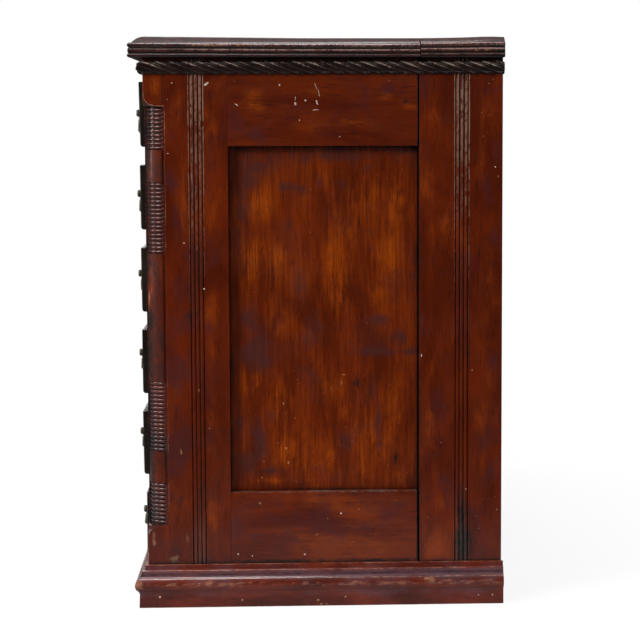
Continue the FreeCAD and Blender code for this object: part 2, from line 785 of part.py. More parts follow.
doc.recompute()
for thing in doc.Objects:
    if "Invalid" in thing.State or "Error" in thing.State:
        raise RuntimeError("%s failed: %s" % (thing.Name, thing.State))
for piece in parts:
    if piece.Shape.isNull() or not piece.Shape.isValid():
        raise RuntimeError("%s has no valid shape" % piece.Label)
os.makedirs("parts", exist_ok=True)
for piece in parts:
    piece.Shape.exportStep("parts/%s.step" % piece.Label)
print("%d sub-parts written" % len(parts))
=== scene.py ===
import math

import bmesh
import bpy
import numpy as np
from mathutils import Matrix, Vector


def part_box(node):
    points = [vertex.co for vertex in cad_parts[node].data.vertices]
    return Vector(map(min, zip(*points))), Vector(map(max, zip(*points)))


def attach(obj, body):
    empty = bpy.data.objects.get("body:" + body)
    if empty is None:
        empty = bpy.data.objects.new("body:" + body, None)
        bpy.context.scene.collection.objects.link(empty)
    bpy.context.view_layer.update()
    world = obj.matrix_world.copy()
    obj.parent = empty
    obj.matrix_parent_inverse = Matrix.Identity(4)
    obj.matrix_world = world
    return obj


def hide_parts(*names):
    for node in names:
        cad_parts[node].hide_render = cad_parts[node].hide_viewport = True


# The looks of a six drawer spool cabinet in old shellacked mahogany. Its front faces -Y and
# the photographed side is +X. Its pieces are shaped in millimetres, which Form.piece turns
# to metres; shaders, floor, lamps and camera are set out in metres.

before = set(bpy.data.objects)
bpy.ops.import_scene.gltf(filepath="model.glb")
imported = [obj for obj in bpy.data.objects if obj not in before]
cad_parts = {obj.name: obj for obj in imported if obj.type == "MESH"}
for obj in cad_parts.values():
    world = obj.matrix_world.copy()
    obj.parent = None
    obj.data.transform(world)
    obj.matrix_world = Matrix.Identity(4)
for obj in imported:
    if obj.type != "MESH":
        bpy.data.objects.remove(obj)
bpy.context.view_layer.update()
MM = 0.001


# Front posts
# Mahogany uprights, 32 by 82 mm, reeded on the side. The outer front corner is turned to a
# ribbed quarter column between square blocks, then shellacked; the ribs' crests are rubbed.

def box(node):
    """Low and high corners of a CAD node, in millimetres."""
    return [np.array(corner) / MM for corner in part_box(node)]


def arc_points(start, middle, end, spacing):
    """Points on the circle through three points, after the first and up to the last."""
    (ax, ay), (bx, by), (cx, cy) = start, middle, end
    double = 2 * (ax * (by - cy) + bx * (cy - ay) + cx * (ay - by))
    a2, b2, c2 = ax * ax + ay * ay, bx * bx + by * by, cx * cx + cy * cy
    x = (a2 * (by - cy) + b2 * (cy - ay) + c2 * (ay - by)) / double
    y = (a2 * (cx - bx) + b2 * (ax - cx) + c2 * (bx - ax)) / double
    radius = math.hypot(ax - x, ay - y)
    first, second, last = (math.atan2(v - y, u - x) for u, v in (start, middle, end))
    sweep = (last - first) % math.tau
    if (second - first) % math.tau > sweep:
        sweep -= math.tau
    count = max(4, math.ceil(abs(sweep) * radius / spacing))
    angles = first + sweep * np.arange(1, count + 1) / count
    return [(x + radius * math.cos(a), y + radius * math.sin(a)) for a in angles]


def outline(steps, spacing=6.0, fine=0.5, closed=True):
    """Points along an outline. A step of two points is an arc through the first to the
    second; a step of three numbers is a corner eased to that radius."""
    points = [steps[0][:2]]
    walk = list(steps[1:]) + ([steps[0]] if closed else [])
    for index, step in enumerate(walk):
        here = points[-1]
        if isinstance(step[0], tuple):
            points += arc_points(here, step[0], step[1], fine)
            continue
        if len(step) == 3 and index + 1 < len(walk):
            corner, radius = np.array(step[:2]), step[2]
            after = walk[index + 1]
            after = np.array(after[0] if isinstance(after[0], tuple) else after[:2])
            back, ahead = np.array(here) - corner, after - corner
            back, ahead = back / np.linalg.norm(back), ahead / np.linalg.norm(ahead)
            middle = corner + (back + ahead) * radius * (1 - 0.5 ** 0.5)
            points += run_points(here, corner + back * radius, spacing)
            points += arc_points(points[-1], middle, corner + ahead * radius, radius / 2)
        else:
            points += run_points(here, step[:2], spacing)
    return np.array(points[:-1] if closed else points)


def run_points(start, end, spacing):
    """Points along a straight run, closer together near its two ends."""
    start, end = np.array(start), np.array(end)
    length = np.linalg.norm(end - start)
    if length < 1e-6:
        return []
    near = [d for d in (1.2, 3.2) if d < length / 3]
    count = max(1, round((length - 2 * (near[-1] if near else 0)) / spacing))
    middle = np.linspace(near[-1], length - near[-1], count + 1) if near else [0, length]
    places = sorted({*near, *middle, *(length - d for d in near), length} - {0})
    return [tuple(start + (end - start) * place / length) for place in places]


def worn(points, closed=True, reach=1.1):
    """Where an outline stands out, which hands rub, and where it lies in, which is darkened."""
    loop = np.vstack([points, points[:1]]) if closed else np.asarray(points, float)
    steps = np.linalg.norm(np.diff(loop, axis=0), axis=1)
    along = np.concatenate([[0], np.cumsum(steps)])
    total = along[-1]

    def at(place):
        place = place % total if closed else np.clip(place, 0, total)
        return np.stack([np.interp(place, along, loop[:, axis]) for axis in (0, 1)], -1)

    here = along[:len(points)]
    back, ahead = at(here) - at(here - reach), at(here + reach) - at(here)
    cross = back[:, 0] * ahead[:, 1] - back[:, 1] * ahead[:, 0]
    turn = np.arctan2(cross, (back * ahead).sum(-1))
    if closed:
        x, y = loop[:, 0], loop[:, 1]
        turn *= np.sign((x[:-1] * y[1:] - x[1:] * y[:-1]).sum())
    share = turn / math.radians(60)
    return np.clip(share, 0, 1), np.clip(-share, 0, 1)


def hump(places, middle, half, power=2):
    """1 at the middle, falling softly to nothing on both sides."""
    return np.exp(-((places - middle) / half) ** power)


class Form:
    """The points, faces and finish masks of one piece while it is shaped."""

    masks = ("rub", "grime", "bloom", "warm", "shine")

    def __init__(self):
        self.points, self.faces, self.count = [], [], 0
        self.values = {mask: [] for mask in self.masks}

    def lattice(self, points, around=False, capped=False, **masks):
        """Rows of points joined by quads; around closes the rows, capped closes the ends."""
        points = np.asarray(points, float)
        rows, columns = points.shape[:2]
        index = self.count + np.arange(rows * columns).reshape(rows, columns)
        right = np.roll(index, -1, axis=1)
        last = columns if around else columns - 1
        quads = (index[:-1, :last], right[:-1, :last], right[1:, :last], index[1:, :last])
        self.faces += np.stack(quads, -1).reshape(-1, 4).tolist()
        if capped:
            self.faces += [index[0].tolist(), index[-1].tolist()]
        self.points.append(points.reshape(-1, 3))
        self.count += rows * columns
        for mask in self.masks:
            value = np.broadcast_to(masks.get(mask, 0.0), (rows, columns))
            self.values[mask].append(value.reshape(-1))

    def merge(self):
        """Gather what was added so far into single arrays, for changes to the whole form."""
        self.points = [np.concatenate(self.points)]
        for mask in self.masks:
            self.values[mask] = [np.concatenate(self.values[mask])]
        return self.points[0]

    def mark(self, mask, spots):
        """Soft spots of one mask on a side face: y, z, two half sizes and a strength, which
        cleans the spot where it is below zero."""
        points = self.merge()
        found = self.values[mask][0]
        for y, z, wide, high, strength in spots:
            away = ((points[:, 1] - y) / wide) ** 2 + ((points[:, 2] - z) / high) ** 2
            share = strength * np.exp(-away)
            found = np.maximum(found, share) if strength > 0 else found * (1 + share)
        self.values[mask][0] = found

    def mirrored(self):
        """The same form for the left side."""
        other = Form()
        other.points = [points * (-1, 1, 1) for points in self.points]
        other.faces, other.count = self.faces, self.count
        other.values = {mask: [v.copy() for v in self.values[mask]] for mask in self.masks}
        return other

    def piece(self, name, slot, material, body="carcass", nodes=None, crease=38):
        """Make the object in metres and ride it on its body. It stands for the node of its
        own name, or for the nodes that are given."""
        mesh = bpy.data.meshes.new(name)
        mesh.from_pydata((self.merge() * MM).tolist(), [], self.faces)
        for mask in self.masks:
            if self.values[mask][0].any():
                layer = mesh.attributes.new(mask, "FLOAT", "POINT")
                layer.data.foreach_set("value", self.values[mask][0].astype(np.float32))
        shell = bmesh.new()
        shell.from_mesh(mesh)
        bmesh.ops.remove_doubles(shell, verts=shell.verts, dist=0.002 * MM)
        bmesh.ops.recalc_face_normals(shell, faces=shell.faces)
        shell.to_mesh(mesh)
        shell.free()
        mesh.shade_smooth()
        mesh.set_sharp_from_angle(angle=math.radians(crease))
        mesh.materials.append(material)
        made = stand(name, mesh)
        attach(made, body)
        nodes = [name] if nodes is None else nodes
        if nodes:
            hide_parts(*nodes)
        return made


def stand(name, data):
    """A new object in the scene."""
    made = bpy.data.objects.new(name, data)
    bpy.context.scene.collection.objects.link(made)
    return made


def pair(form, name, slot, material, change=None, **spots):
    """The right side's piece with its soft spots and its change, and its clean mirror image."""
    left = form.mirrored()
    for mask, places in spots.items():
        form.mark(mask, places)
    if change:
        change(form)
    form.piece(name + "_right", slot, material)
    left.piece(name + "_left", slot, material)


def tint(colour):
    """A colour as a screen shows it, 0 to 255, as the light values that nodes take."""
    light = [value / 12.92 if value <= 0.04045 else ((value + 0.055) / 1.055) ** 2.4
             for value in np.array(colour) / 255]
    return (*light, 1.0)


class Wire:
    """What comes out of a shader node. Wires add, subtract and multiply as numbers do."""

    def __init__(self, node, output=0):
        self.tree, self.socket = node.id_data, node.outputs[output]

    def __add__(self, other):
        return self.maths("ADD", other)

    def __sub__(self, other):
        return self.maths("SUBTRACT", other)

    def __mul__(self, other):
        return self.maths("MULTIPLY", other)

    def maths(self, operation, other=0.0):
        return Wire(add(self.tree, "Math", {0: self, 1: other}, operation=operation))

    def scaled(self, *factors):
        takes = {0: self, 1: factors}
        return Wire(add(self.tree, "VectorMath", takes, operation="MULTIPLY"))

    def noise(self, scale, detail=2.0, rough=0.5, distortion=0.0):
        takes = {"Vector": self, "Scale": scale, "Detail": detail, "Roughness": rough,
                 "Distortion": distortion}
        return Wire(add(self.tree, "TexNoise", takes))

    def spread(self, low, high, least=0.0, most=1.0):
        """Ease a value from its low..high range to least..most."""
        takes = {"Value": self, "From Min": low, "From Max": high, "To Min": least,
                 "To Max": most}
        return Wire(add(self.tree, "MapRange", takes, interpolation_type="SMOOTHSTEP"))

    def mixed(self, first, second):
        """Two colours mixed by this share; the Mix node's colours are its inputs 6 and 7."""
        takes = {0: self, 6: first, 7: second}
        return Wire(add(self.tree, "Mix", takes, data_type="RGBA"), 2)


def feed(node, takes):
    """Give a node's inputs their wires and values; colours are given as a screen shows them."""
    for place, value in takes.items():
        socket = node.inputs[place]
        if isinstance(value, Wire):
            node.id_data.links.new(value.socket, socket)
        else:
            socket.default_value = tint(value) if socket.type == "RGBA" else value


def add(tree, kind, takes=None, **settings):
    """One shader node with its settings and what its inputs take."""
    made = tree.nodes.new("ShaderNode" + kind)
    for setting, value in settings.items():
        setattr(made, setting, value)
    feed(made, takes or {})
    return made


def painted(tree, mask):
    """What a form's mask says at each place."""
    return Wire(add(tree, "Attribute", attribute_name=mask), "Fac")


def new_material(name):
    """A material, its Principled shader and the place on the object, in metres."""
    made = bpy.data.materials.new(name)
    made.use_nodes = True
    place = Wire(add(made.node_tree, "TexCoord"), "Object")
    return made, made.node_tree.nodes["Principled BSDF"], place


def bump(surface, height, distance):
    bumps = add(surface.id_data, "Bump", {"Height": height, "Distance": distance})
    feed(surface, {"Normal": Wire(bumps)})


def shader_group(name, takes, gives):
    """An empty shader group with named sockets, its output node and the wires that come in."""
    tree = bpy.data.node_groups.new(name, "ShaderNodeTree")
    for label, value in takes.items():
        kind = {str: "Vector", float: "Float", tuple: "Color"}[type(value)]
        socket = tree.interface.new_socket(name=label, in_out="INPUT",
                                           socket_type="NodeSocket" + kind)
        if kind != "Vector":
            socket.default_value = tint(value) if kind == "Color" else value
    for label, kind in gives.items():
        tree.interface.new_socket(name=label, in_out="OUTPUT", socket_type="NodeSocket" + kind)
    given = tree.nodes.new("NodeGroupInput")
    return tree, tree.nodes.new("NodeGroupOutput"), [Wire(given, label) for label in takes]


def wood_grain():
    """Grain of a board whose length lies along Z of the place that comes in, in metres."""
    group, out, (place, streak_scale, streak_share, fibre_scale) = shader_group(
        "wood_grain", {"Place": "vector", "Streak Scale": 60.0, "Streak Share": 0.25,
                       "Fibre Scale": 900.0},
        {"Figure": "Float", "Fibre": "Float", "Pores": "Float", "Cloud": "Float"})
    broad = place.scaled(1.0, 1.0, 0.4).noise(30.0, 4.0, 0.55, 0.6)
    streaks = place.scaled(1.0, 1.0, 0.11).noise(streak_scale, 4.0, 0.62, 0.5)
    figure = (streaks - broad) * streak_share + broad
    fibre = place.scaled(1.0, 1.0, 0.03).noise(fibre_scale, 3.0, 0.6)
    pores = place.scaled(1.0, 1.0, 0.06).noise(1300.0, 1.0, 0.5)
    cloud = place.noise(26.0, 6.0, 0.62, 0.3)
    feed(out, {"Figure": figure.spread(0.36, 0.64), "Fibre": fibre.spread(0.32, 0.68),
               "Pores": pores.spread(0.6, 0.72), "Cloud": cloud.spread(0.36, 0.66)})
    return group


def old_shellac():
    """Old shellac over that grain: hazed, rubbed through on crests and dirty in hollows, with
    painted highlights and painted shade laid in through the same masks.
    """
    group, out, given = shader_group(
        "old_shellac",
        {"Place": "vector", "Figure": 0.5, "Fibre": 0.5, "Pores": 0.0, "Cloud": 0.5,
         "Rub": 0.0, "Grime": 0.0, "Bloom": 0.0, "Warm": 0.0, "Dark": (68, 17, 1),
         "Body": (94, 31, 2), "Light": (134, 60, 2), "Haze": (58, 22, 25),
         "Bare": (132, 86, 68), "Soot": (14, 9, 8), "Haze Share": 0.65, "Rub Share": 0.35,
         "Gloss": 0.3, "Waviness": 0.00015, "Crackle": 0.00006, "Glow": 0.42, "Threads": 0.22},
        {"Color": "Color", "Roughness": "Float", "Height": "Float"})
    (place, figure, fibre, pores, cloud, rub, grime, bloom, warm, dark, body, light, haze,
     bare, soot, haze_share, rub_share, gloss, waviness, crackle, glow, threads) = given
    fleck = place.scaled(1.0, 1.0, 0.4).noise(420.0, 4.0, 0.7).spread(0.34, 0.66)
    ragged = place.scaled(1.0, 1.0, 0.55).noise(120.0, 6.0, 0.72, 0.3)
    feather = ragged.spread(0.3, 0.68, 0.4, 1.25)
    drift = place.noise(9.0, 3.0, 0.5).spread(0.4, 0.66)
    lit = figure * drift * glow + warm * feather * (figure * 0.7 + 0.3)
    colour = lit.spread(0.05, 0.95).mixed(figure.mixed(dark, body), light)
    colour = (fibre * threads).mixed(colour, dark)
    colour = (pores * 0.6).mixed(colour, soot)
    hazed = (bloom * feather + cloud * 0.55).spread(0.3, 1.25) * haze_share
    colour = hazed.mixed(colour, haze)
    # the rub mask lightens towards bare wood: wear, and painted highlights on some pieces
    rubbed = (rub * (cloud * 0.45 + fleck * 0.9)).spread(0.3, 0.95)
    colour = (rubbed * (rub_share * rub.maths("MAXIMUM", 1.0))).mixed(colour, bare)
    # the grime mask darkens towards soot: soiling, and painted shade on some pieces
    dirt_and_shade = (grime * (cloud * 0.35 + (fleck * 0.55 + 0.3))).spread(0.0, 0.85)
    colour = dirt_and_shade.mixed(colour, soot)
    dulled = cloud * 0.07 + (hazed * 0.12 + dirt_and_shade * 0.35)
    wave = place.noise(34.0, 2.0, 0.4) * waviness
    crazing = place.noise(1100.0, 2.0, 0.6) * (crackle * (rub * 0.85 + 0.15))
    sunk = (fibre + pores) * -0.00002
    feed(out, {"Color": colour, "Roughness": gloss + dulled, "Height": wave + crazing + sunk})
    return group


grain, varnish = wood_grain(), old_shellac()
# how the mapping turns each board's length to the groups' Z
turns = {"up": (0, 0, 0), "deep": (math.radians(90), 0, 0), "across": (0, math.radians(90), 0)}


def wood(name, length, streaks=60.0, streak_share=0.25, fibre=900.0, coat=0.12,
         coat_rough=0.12, seed=0.0, **values):
    """A shellacked wood whose boards run up, deep (front to back) or across."""
    made, surface, place = new_material(name)
    tree = made.node_tree
    place = Wire(add(tree, "Mapping", {"Vector": place, "Rotation": turns[length],
                                       "Location": (seed, seed * 0.7, seed * 1.3)}))
    figure = add(tree, "Group", {"Place": place, "Streak Scale": streaks, "Fibre Scale": fibre,
                                 "Streak Share": streak_share}, node_tree=grain)
    takes = {label: Wire(figure, label) for label in ("Figure", "Fibre", "Pores", "Cloud")}
    takes.update({mask.capitalize(): painted(tree, mask) for mask in Form.masks[:4]})
    takes.update({label.replace("_", " ").title(): value for label, value in values.items()})
    finish = add(tree, "Group", {"Place": place, **takes}, node_tree=varnish)
    feed(surface, {"Base Color": Wire(finish, "Color"), "Roughness": Wire(finish, "Roughness"),
                   "Specular IOR Level": 0.12, "Coat Roughness": coat_rough,
                   "Coat Weight": painted(tree, "shine") * 0.8 + coat})
    bump(surface, Wire(finish, "Height"), 1.0)
    return made


post_low, post_high = box("front_post_right")
side_face, front_face = post_high[0], post_low[1]
carcass_top, panel_edge = post_high[2], post_high[1]
frame_thickness, nose_depth, arris = 22, 40, 0.9
nose_inner, frame_inner = post_low[0], side_face - frame_thickness
nose_back = front_face + nose_depth
column_square = 20.6
column_x, column_y = side_face - column_square, front_face + column_square
reed_pitch, reed_depth, reed_flank = 4.1, 1.6, 0.8
post_reeds_y = front_face + 51
# hands rub the reeds near the top, less towards the foot
reed_heights, reed_wear = [0, 220, 330, 430, 480], [0.2, 0.25, 0.5, 1.15, 1.8]


def reeds(middle, direction):
    """Four grooves with three round reeds between them, along the side face."""
    first = middle - direction * 1.5 * reed_pitch
    steps = [(side_face, first - direction * reed_flank), (side_face - reed_depth, first)]
    for reed in range(3):
        crest = first + direction * reed_pitch * (reed + 0.5)
        foot = first + direction * reed_pitch * (reed + 1)
        steps.append(((side_face, crest), (side_face - reed_depth, foot)))
    return steps + [(side_face, first + direction * (3 * reed_pitch + reed_flank))]


def over_reeds(section, middle):
    """Where the reeds are on a section, how near their crests, and how far down a flank."""
    depth = np.clip((side_face - section[:, 0]) / reed_depth, 0, 1)
    there = np.abs(section[:, 1] - middle) < 7
    return there, np.clip(1.15 - 2.2 * depth, 0, 1), there * np.clip(2.2 * depth - 0.3, 0, 1)


def upright(section, level):
    """The points of a section at each level, in rows."""
    return np.array([[(x, y, z) for x, y in section] for z in level.flat])


# The quarter column: its size, the angles it is shaped at and how the square cuts it off
rib_radius, rib_depth, rib_pitch, rib_gap, plain_radius = 18.8, 1.5, 4.1, 0.7, 19.4
column_middle, plain_half, plain_length, shoulder_height = 286.3, 62.8, 31.4, 13.0
degrees = np.array([0, 3, 5, 6, 7, 8, 9, 10, 12, 15, 20, 25, 30, 35, 40, 43, 44.3, 45, 45.7, 47,
                    50, 55, 60, 65, 70, 75, 78, 80, 82, 84, 87, 90])
angles = np.radians(degrees)
# a plain strip lies sunk along each edge of the ribs
strip_radius, strip_angle = 18.1, math.radians(8)
strip = hump(angles, 0, strip_angle, 6) + hump(angles, math.pi / 2, strip_angle, 6)
# the column's side towards the front is painted darker as shade, on ribs and plain parts alike
side_shade = np.interp(degrees, [40, 54, 80, 84], [0, 0.9, 0.9, 1.3])
square_reach = column_square / np.maximum(np.cos(angles), np.sin(angles))
square_reach = np.minimum(square_reach, column_square * 2 ** 0.5 - 0.5)

# radius and height of the turned part above the column's middle
valley, height = rib_radius - rib_depth, plain_half
steps = [(plain_radius, 0.0), (plain_radius, plain_half)]
for count, plain in ((17, plain_length), (10, 0)):
    steps.append((valley, height))
    for _ in range(count):
        steps.append((valley, height + rib_gap / 2))
        steps.append(((rib_radius, height + rib_pitch / 2),
                      (valley, height + rib_pitch - rib_gap / 2)))
        height += rib_pitch
    steps.append((valley, height))
    if plain:
        steps += [(plain_radius, height), (plain_radius, height + plain)]
        height += plain
steps.append((rib_radius, height + 1.3))
half_column = outline(steps, spacing=8.0, fine=0.62, closed=False)
shoulder_start = half_column[-1, 1]
share = np.sin(np.linspace(0, math.pi / 2, 60))
shoulder_radius = rib_radius + (square_reach.max() + 0.02 - rib_radius) * share
shoulder_rise = shoulder_height * (1 - (1 - share ** 2.6) ** (1 / 2.6))
cut_height = np.interp(square_reach, shoulder_radius, shoulder_rise)


def column_rows(block_end, wear_and_light):
    """Column rows of (radius, height, rub, grime) by angle, middle to block end."""
    every = np.ones(len(angles))
    rows = []
    for (radius, height), rub, grime in zip(half_column, *worn(half_column, closed=False)):
        rows.append((radius + (strip_radius - radius) * strip, every * height,
                     np.maximum(0.8 * rub * (1 - strip) * (1 - 0.6 * side_shade),
                                0.5 * strip * (side_shade < 0.1)),
                     np.maximum(grime * (1 - strip),
                                (0.5 + 0.4 * side_shade) * (1 - 0.3 * strip))))
    # the shoulder under each block is painted dark as shade, and its arris at the block gets a
    # painted highlight line
    for share in (0.3, 0.6, 0.88, 1.0):
        height = cut_height * share
        radius = np.interp(height, shoulder_rise, shoulder_radius)
        rows.append((np.minimum(radius, square_reach), shoulder_start + height,
                     every * (2.0 * wear_and_light if share == 1 else 0.0),
                     every * (0.0 if share == 1 else max(0.6 * wear_and_light, 0.35))))
    corner_rub = 0.5 * hump(degrees, 45, 2.5)
    block_start = shoulder_height + 1
    levels = [shoulder_start + (cut_height + (block_start - cut_height) * share)
              for share in (0.12, 0.5, 1.0)]
    start = shoulder_start + block_start
    levels += [every * level for level in np.arange(start + 4, block_end, 5)]
    levels.append(every * block_end)
    return rows + [(square_reach, level, corner_rub, 0 * corner_rub) for level in levels]


# One closed form: the plain section with the carved corner let into it at each height
section = outline([(column_x, column_y), (side_face, column_y, 0.4), *reeds(post_reeds_y, 1),
                   (side_face, panel_edge, 0.35), (frame_inner, panel_edge),
                   (frame_inner, nose_back), (nose_inner, nose_back),
                   (nose_inner, front_face, arris), (column_x, front_face, 0.3)], spacing=3.5)
rub, grime = worn(section)
x, y = section.T
on_reeds, crest, flank = over_reeds(section, post_reeds_y)
rub = rub * np.where(on_reeds, 1.3 * crest, 0.3)
on_quirk = np.hypot(x - side_face, y - column_y) < 0.6
grime[np.hypot(x - column_x, y - front_face) < 0.6] = 1.0
# the quarter that the column fills is left out
away = np.maximum(x - column_x, column_y - y)
kept = ~((x > column_x - 0.01) & (y < column_y + 0.01) & (away < 19.5))
section, rub, grime, on_reeds, flank, on_quirk = (
    values[kept] for values in (section, rub, grime, on_reeds, flank, on_quirk))
rows = [(radius, column_middle - height, *wear_and_light)
        for radius, height, *wear_and_light in reversed(column_rows(column_middle, 0.12)[1:])]
rows += [(radius, column_middle + height, *wear_and_light)
         for radius, height, *wear_and_light in column_rows(carcass_top - column_middle, 1.0)]
radius, height, turned_rub, turned_grime = np.array(rows).swapaxes(0, 1)
level = height[:, :1]
corner = np.stack([column_x + radius * np.cos(angles), column_y - radius * np.sin(angles),
                   height], -1)
turned_here = np.abs(level - column_middle) < shoulder_start
ribbed = turned_here & (radius[:, [len(angles) // 2]] < plain_radius - 0.1)
# the arris beside the column gets a painted highlight line, brighter beside the ribs
quirk_highlight = np.where(ribbed, 0.9, 0.3 * turned_here)
plain_rub = np.where(on_reeds, rub * np.interp(level, reed_heights, reed_wear),
                     np.where(on_quirk, quirk_highlight, rub))
# the reeds' flanks darken towards the top, and painted shade darkens the post below 330 mm
plain_grime = np.maximum.reduce(np.broadcast_arrays(
    grime, flank * np.interp(level, [300, 430], [0.15, 0.8]),
    np.interp(level, [0, 200, 330], [0.3, 0.25, 0.0])))
# painted shade under the top and in a thin line along the top of the base moulding
post_end_shade = np.interp(level, [0, 40, 46, 535, 537, 600], [0, 1, 0, 0, 1, 1])


def joined(plain, turned):
    """A mask over the plain part of the post's section and the turned one."""
    return np.concatenate([np.broadcast_to(plain, (len(level), len(section))),
                           np.broadcast_to(turned, height.shape)[:, ::-1]], 1)


post_form = Form()
post_form.lattice(np.concatenate([upright(section, level), corner[:, ::-1]], 1),
                  around=True, capped=True, rub=joined(plain_rub, turned_rub),
                  grime=np.maximum(joined(plain_grime, turned_grime), post_end_shade),
                  shine=joined(0.4 * on_reeds * (level < 530), 0.35 * ribbed),
                  bloom=joined(0, 0.8 * ribbed))
post_wood = wood("post_mahogany", "up", bare=(130, 96, 78), rub_share=0.55, seed=0.31,
                 body=(90, 27, 2), light=(122, 48, 3), waviness=0.00035)
pair(post_form, "front_post", "mahogany", post_wood, warm=[
    (-137, 487, 7, 20, 0.7), (-130, 417, 4, 20, 0.5), (-130, 382, 4, 18, 0.5),
    (-103, 514, 7, 6, 1), (-103, 470, 7, 22, 1.1), (-103, 384, 6, 14, 0.5),
    (-104, 299, 6, 22, 0.6), (-104, 255, 5, 16, 0.6), (-135, 105, 9, 24, 0.7),
    (-105, 87, 6, 18, 0.8), (-139, 225, 8, 40, 0.4), (-157, 509, 7, 12, 0.9),
    (-144, 185, 6, 24, 0.4), (-104, 185, 6, 40, 0.4)], bloom=[
    (-141, 464, 5, 9, 0.9), (-141, 418, 6, 15, 1), (-138, 386, 5, 24, 0.8),
    (-136, 341, 12, 18, 0.5), (-136, 299, 12, 28, 0.6), (-128, 291, 6, 8, 1),
    (-106, 275, 7, 8, 1.1), (-144, 134, 6, 9, 0.9), (-101, 441, 5, 14, 0.5),
    (-101, 353, 6, 20, 0.5), (-139, 255, 10, 10, 0.5), (-139, 60, 10, 10, 0.5),
    # the long spot at y -138, z 180 darkens the lower post as painted shade
    (-110, 53, 8, 8, 0.5), (-126, 499, 4, 24, 0.4), (-138, 180, 15, 110, 0.75),
    (-103, 170, 7, 30, 0.5), (-160, 90, 10, 40, 0.5)], rub=[
    (-163, 69, 2.4, 9, 1), (-163, 61, 1.2, 1.5, 2), (-129.8, 66, 2.6, 11, 1.3),
    (-129.7, 58, 1.4, 2.4, 2), (-142, 46, 7, 5.5, 1.2), (-165.5, 305, 1.2, 10, 1.6),
    (-163, 315, 1.0, 7, 1.0), (-164, 329, 1.2, 3, 0.9)], grime=[
    (-149.5, 503, 1.8, 12, 0.5), (-142, 43, 7, 3, 0.5), (-165.5, 305, 1.6, 11, -1),
    (-163, 315, 1.2, 8, -0.8), (-164, 329, 1.2, 3, -0.7), (-158, 332, 9, 18, 0.8),
    (-119, 300, 9, 70, 0.3), (-119, 292, 12, 14, 0.5)])


# Back stiles
# Mahogany boards, 22 by 82 mm, reeded like the posts. They are rebated behind for the back
# boards, and the right one has drawn away from its rails, which leaves a dark open joint.

stile_low, stile_high = box("back_stile_right")
back_face, stile_front = stile_high[1], stile_low[1]
rebate_width, rebate_depth = 10, 8
rebate_x, rebate_y = frame_inner + rebate_width, back_face - rebate_depth
stile_reeds_y = back_face - 40
section = outline([(frame_inner, stile_front), (frame_inner, rebate_y), (rebate_x, rebate_y),
                   (rebate_x, back_face), (side_face, back_face, arris),
                   *reeds(stile_reeds_y, -1), (side_face, stile_front, arris)], spacing=5.0)
rub, grime = worn(section)
on_reeds, crest, flank = over_reeds(section, stile_reeds_y)
from_rails = section[:, 1] - stile_front
level = np.r_[0:40:10, 40:48:2, 48:530:7, 530:carcass_top:2, carcass_top][:, None]
reeds_rub = np.interp(level, reed_heights, reed_wear)
# painted shade under the top and along the base moulding, and painted shade low on the stile, most
# at 200 mm
stile_end_shade = (np.interp(level, [0, 40, 45, 534, 537, 600], [0, 1, 0, 0, 1, 1])
            + np.interp(level, [0, 90, 200, 330], [0.05, 0.1, 0.15, 0.0]))
grime = np.maximum.reduce(np.broadcast_arrays(
    grime, 0.9 * (np.abs(from_rails) < 0.9), stile_end_shade,
    flank * np.interp(level, [300, 430], [0.1, 0.8])))
stile_form = Form()
stile_form.lattice(upright(section, level), around=True, capped=True, grime=grime,
                   rub=rub * (from_rails > 3) * np.where(on_reeds, 1.4 * crest * reeds_rub, 0.4),
                   shine=0.4 * on_reeds * (level < 530))
pair(stile_form, "back_stile", "mahogany", post_wood, warm=[
    (114, 482, 7, 8, 0.6), (107, 419, 8, 16, 1), (125, 376, 6, 26, 0.6), (111, 362, 5, 20, 0.5),
    (164, 487, 10, 12, 0.5), (158, 432, 8, 34, 0.6), (172, 376, 7, 20, 0.5),
    (133, 352, 3, 16, 0.7), (168, 327, 10, 20, 0.7), (175, 302, 6, 14, 0.6),
    (133, 273, 3, 16, 0.7), (165, 267, 10, 24, 0.5), (111, 233, 7, 20, 0.6),
    (101, 243, 3, 10, 0.6), (172, 225, 8, 12, 0.5), (111, 185, 8, 20, 0.6), (159, 181, 5, 14, 1),
    (173, 193, 8, 14, 0.5), (116, 133, 8, 12, 0.4), (159, 140, 8, 10, 0.4), (111, 57, 9, 12, 0.6),
    (171, 62, 9, 14, 0.5), (121, 98, 6, 8, 0.4)], bloom=[
    (105, 508, 5, 14, 1), (109, 493, 5, 8, 0.7), (164, 512, 12, 6, 1), (106, 450, 6, 14, 0.9),
    (126, 479, 5, 8, 0.6), (167, 411, 6, 12, 0.7), (168, 396, 6, 8, 0.8), (174, 450, 5, 10, 0.5),
    (175, 366, 6, 14, 0.9), (104, 278, 4, 20, 0.9), (173, 244, 7, 10, 0.9), (121, 312, 8, 14, 0.5),
    (126, 238, 6, 16, 0.6), (121, 193, 10, 16, 0.7), (165, 163, 12, 12, 0.8),
    (171, 132, 10, 20, 0.6), (129, 92, 6, 16, 0.8), (155, 82, 6, 20, 0.9), (159, 57, 6, 10, 0.8),
    (124, 123, 8, 10, 0.6), (156, 66, 9, 24, 0.5)], grime=[
    (142, 70, 7, 36, 1.2), (148, 245, 4, 25, 0.5), (147, 66, 10, 28, 0.8)])


# Side rails and panels
# The rails are tenoned into the post and the stile, their grain runs front to back. The
# panel is a wide, paler board held loose in grooves, 8 mm back from the frame's face.

def stations(low, high, soft, step, lines=()):
    """Places along one side of a board: close at its arrises and on any carved lines."""
    near = [d for d in (0, 0.4 * soft, soft, soft + 1.2, soft + 4, *lines)
            if d < (high - low) / 2 - 0.05]
    first, last = low + max(near), high - max(near)
    count = max(1, math.ceil((last - first) / step))
    middle = np.linspace(first, last, count + 1)
    return np.unique(np.round([low + d for d in near] + [high - d for d in near]
                              + list(middle), 4))


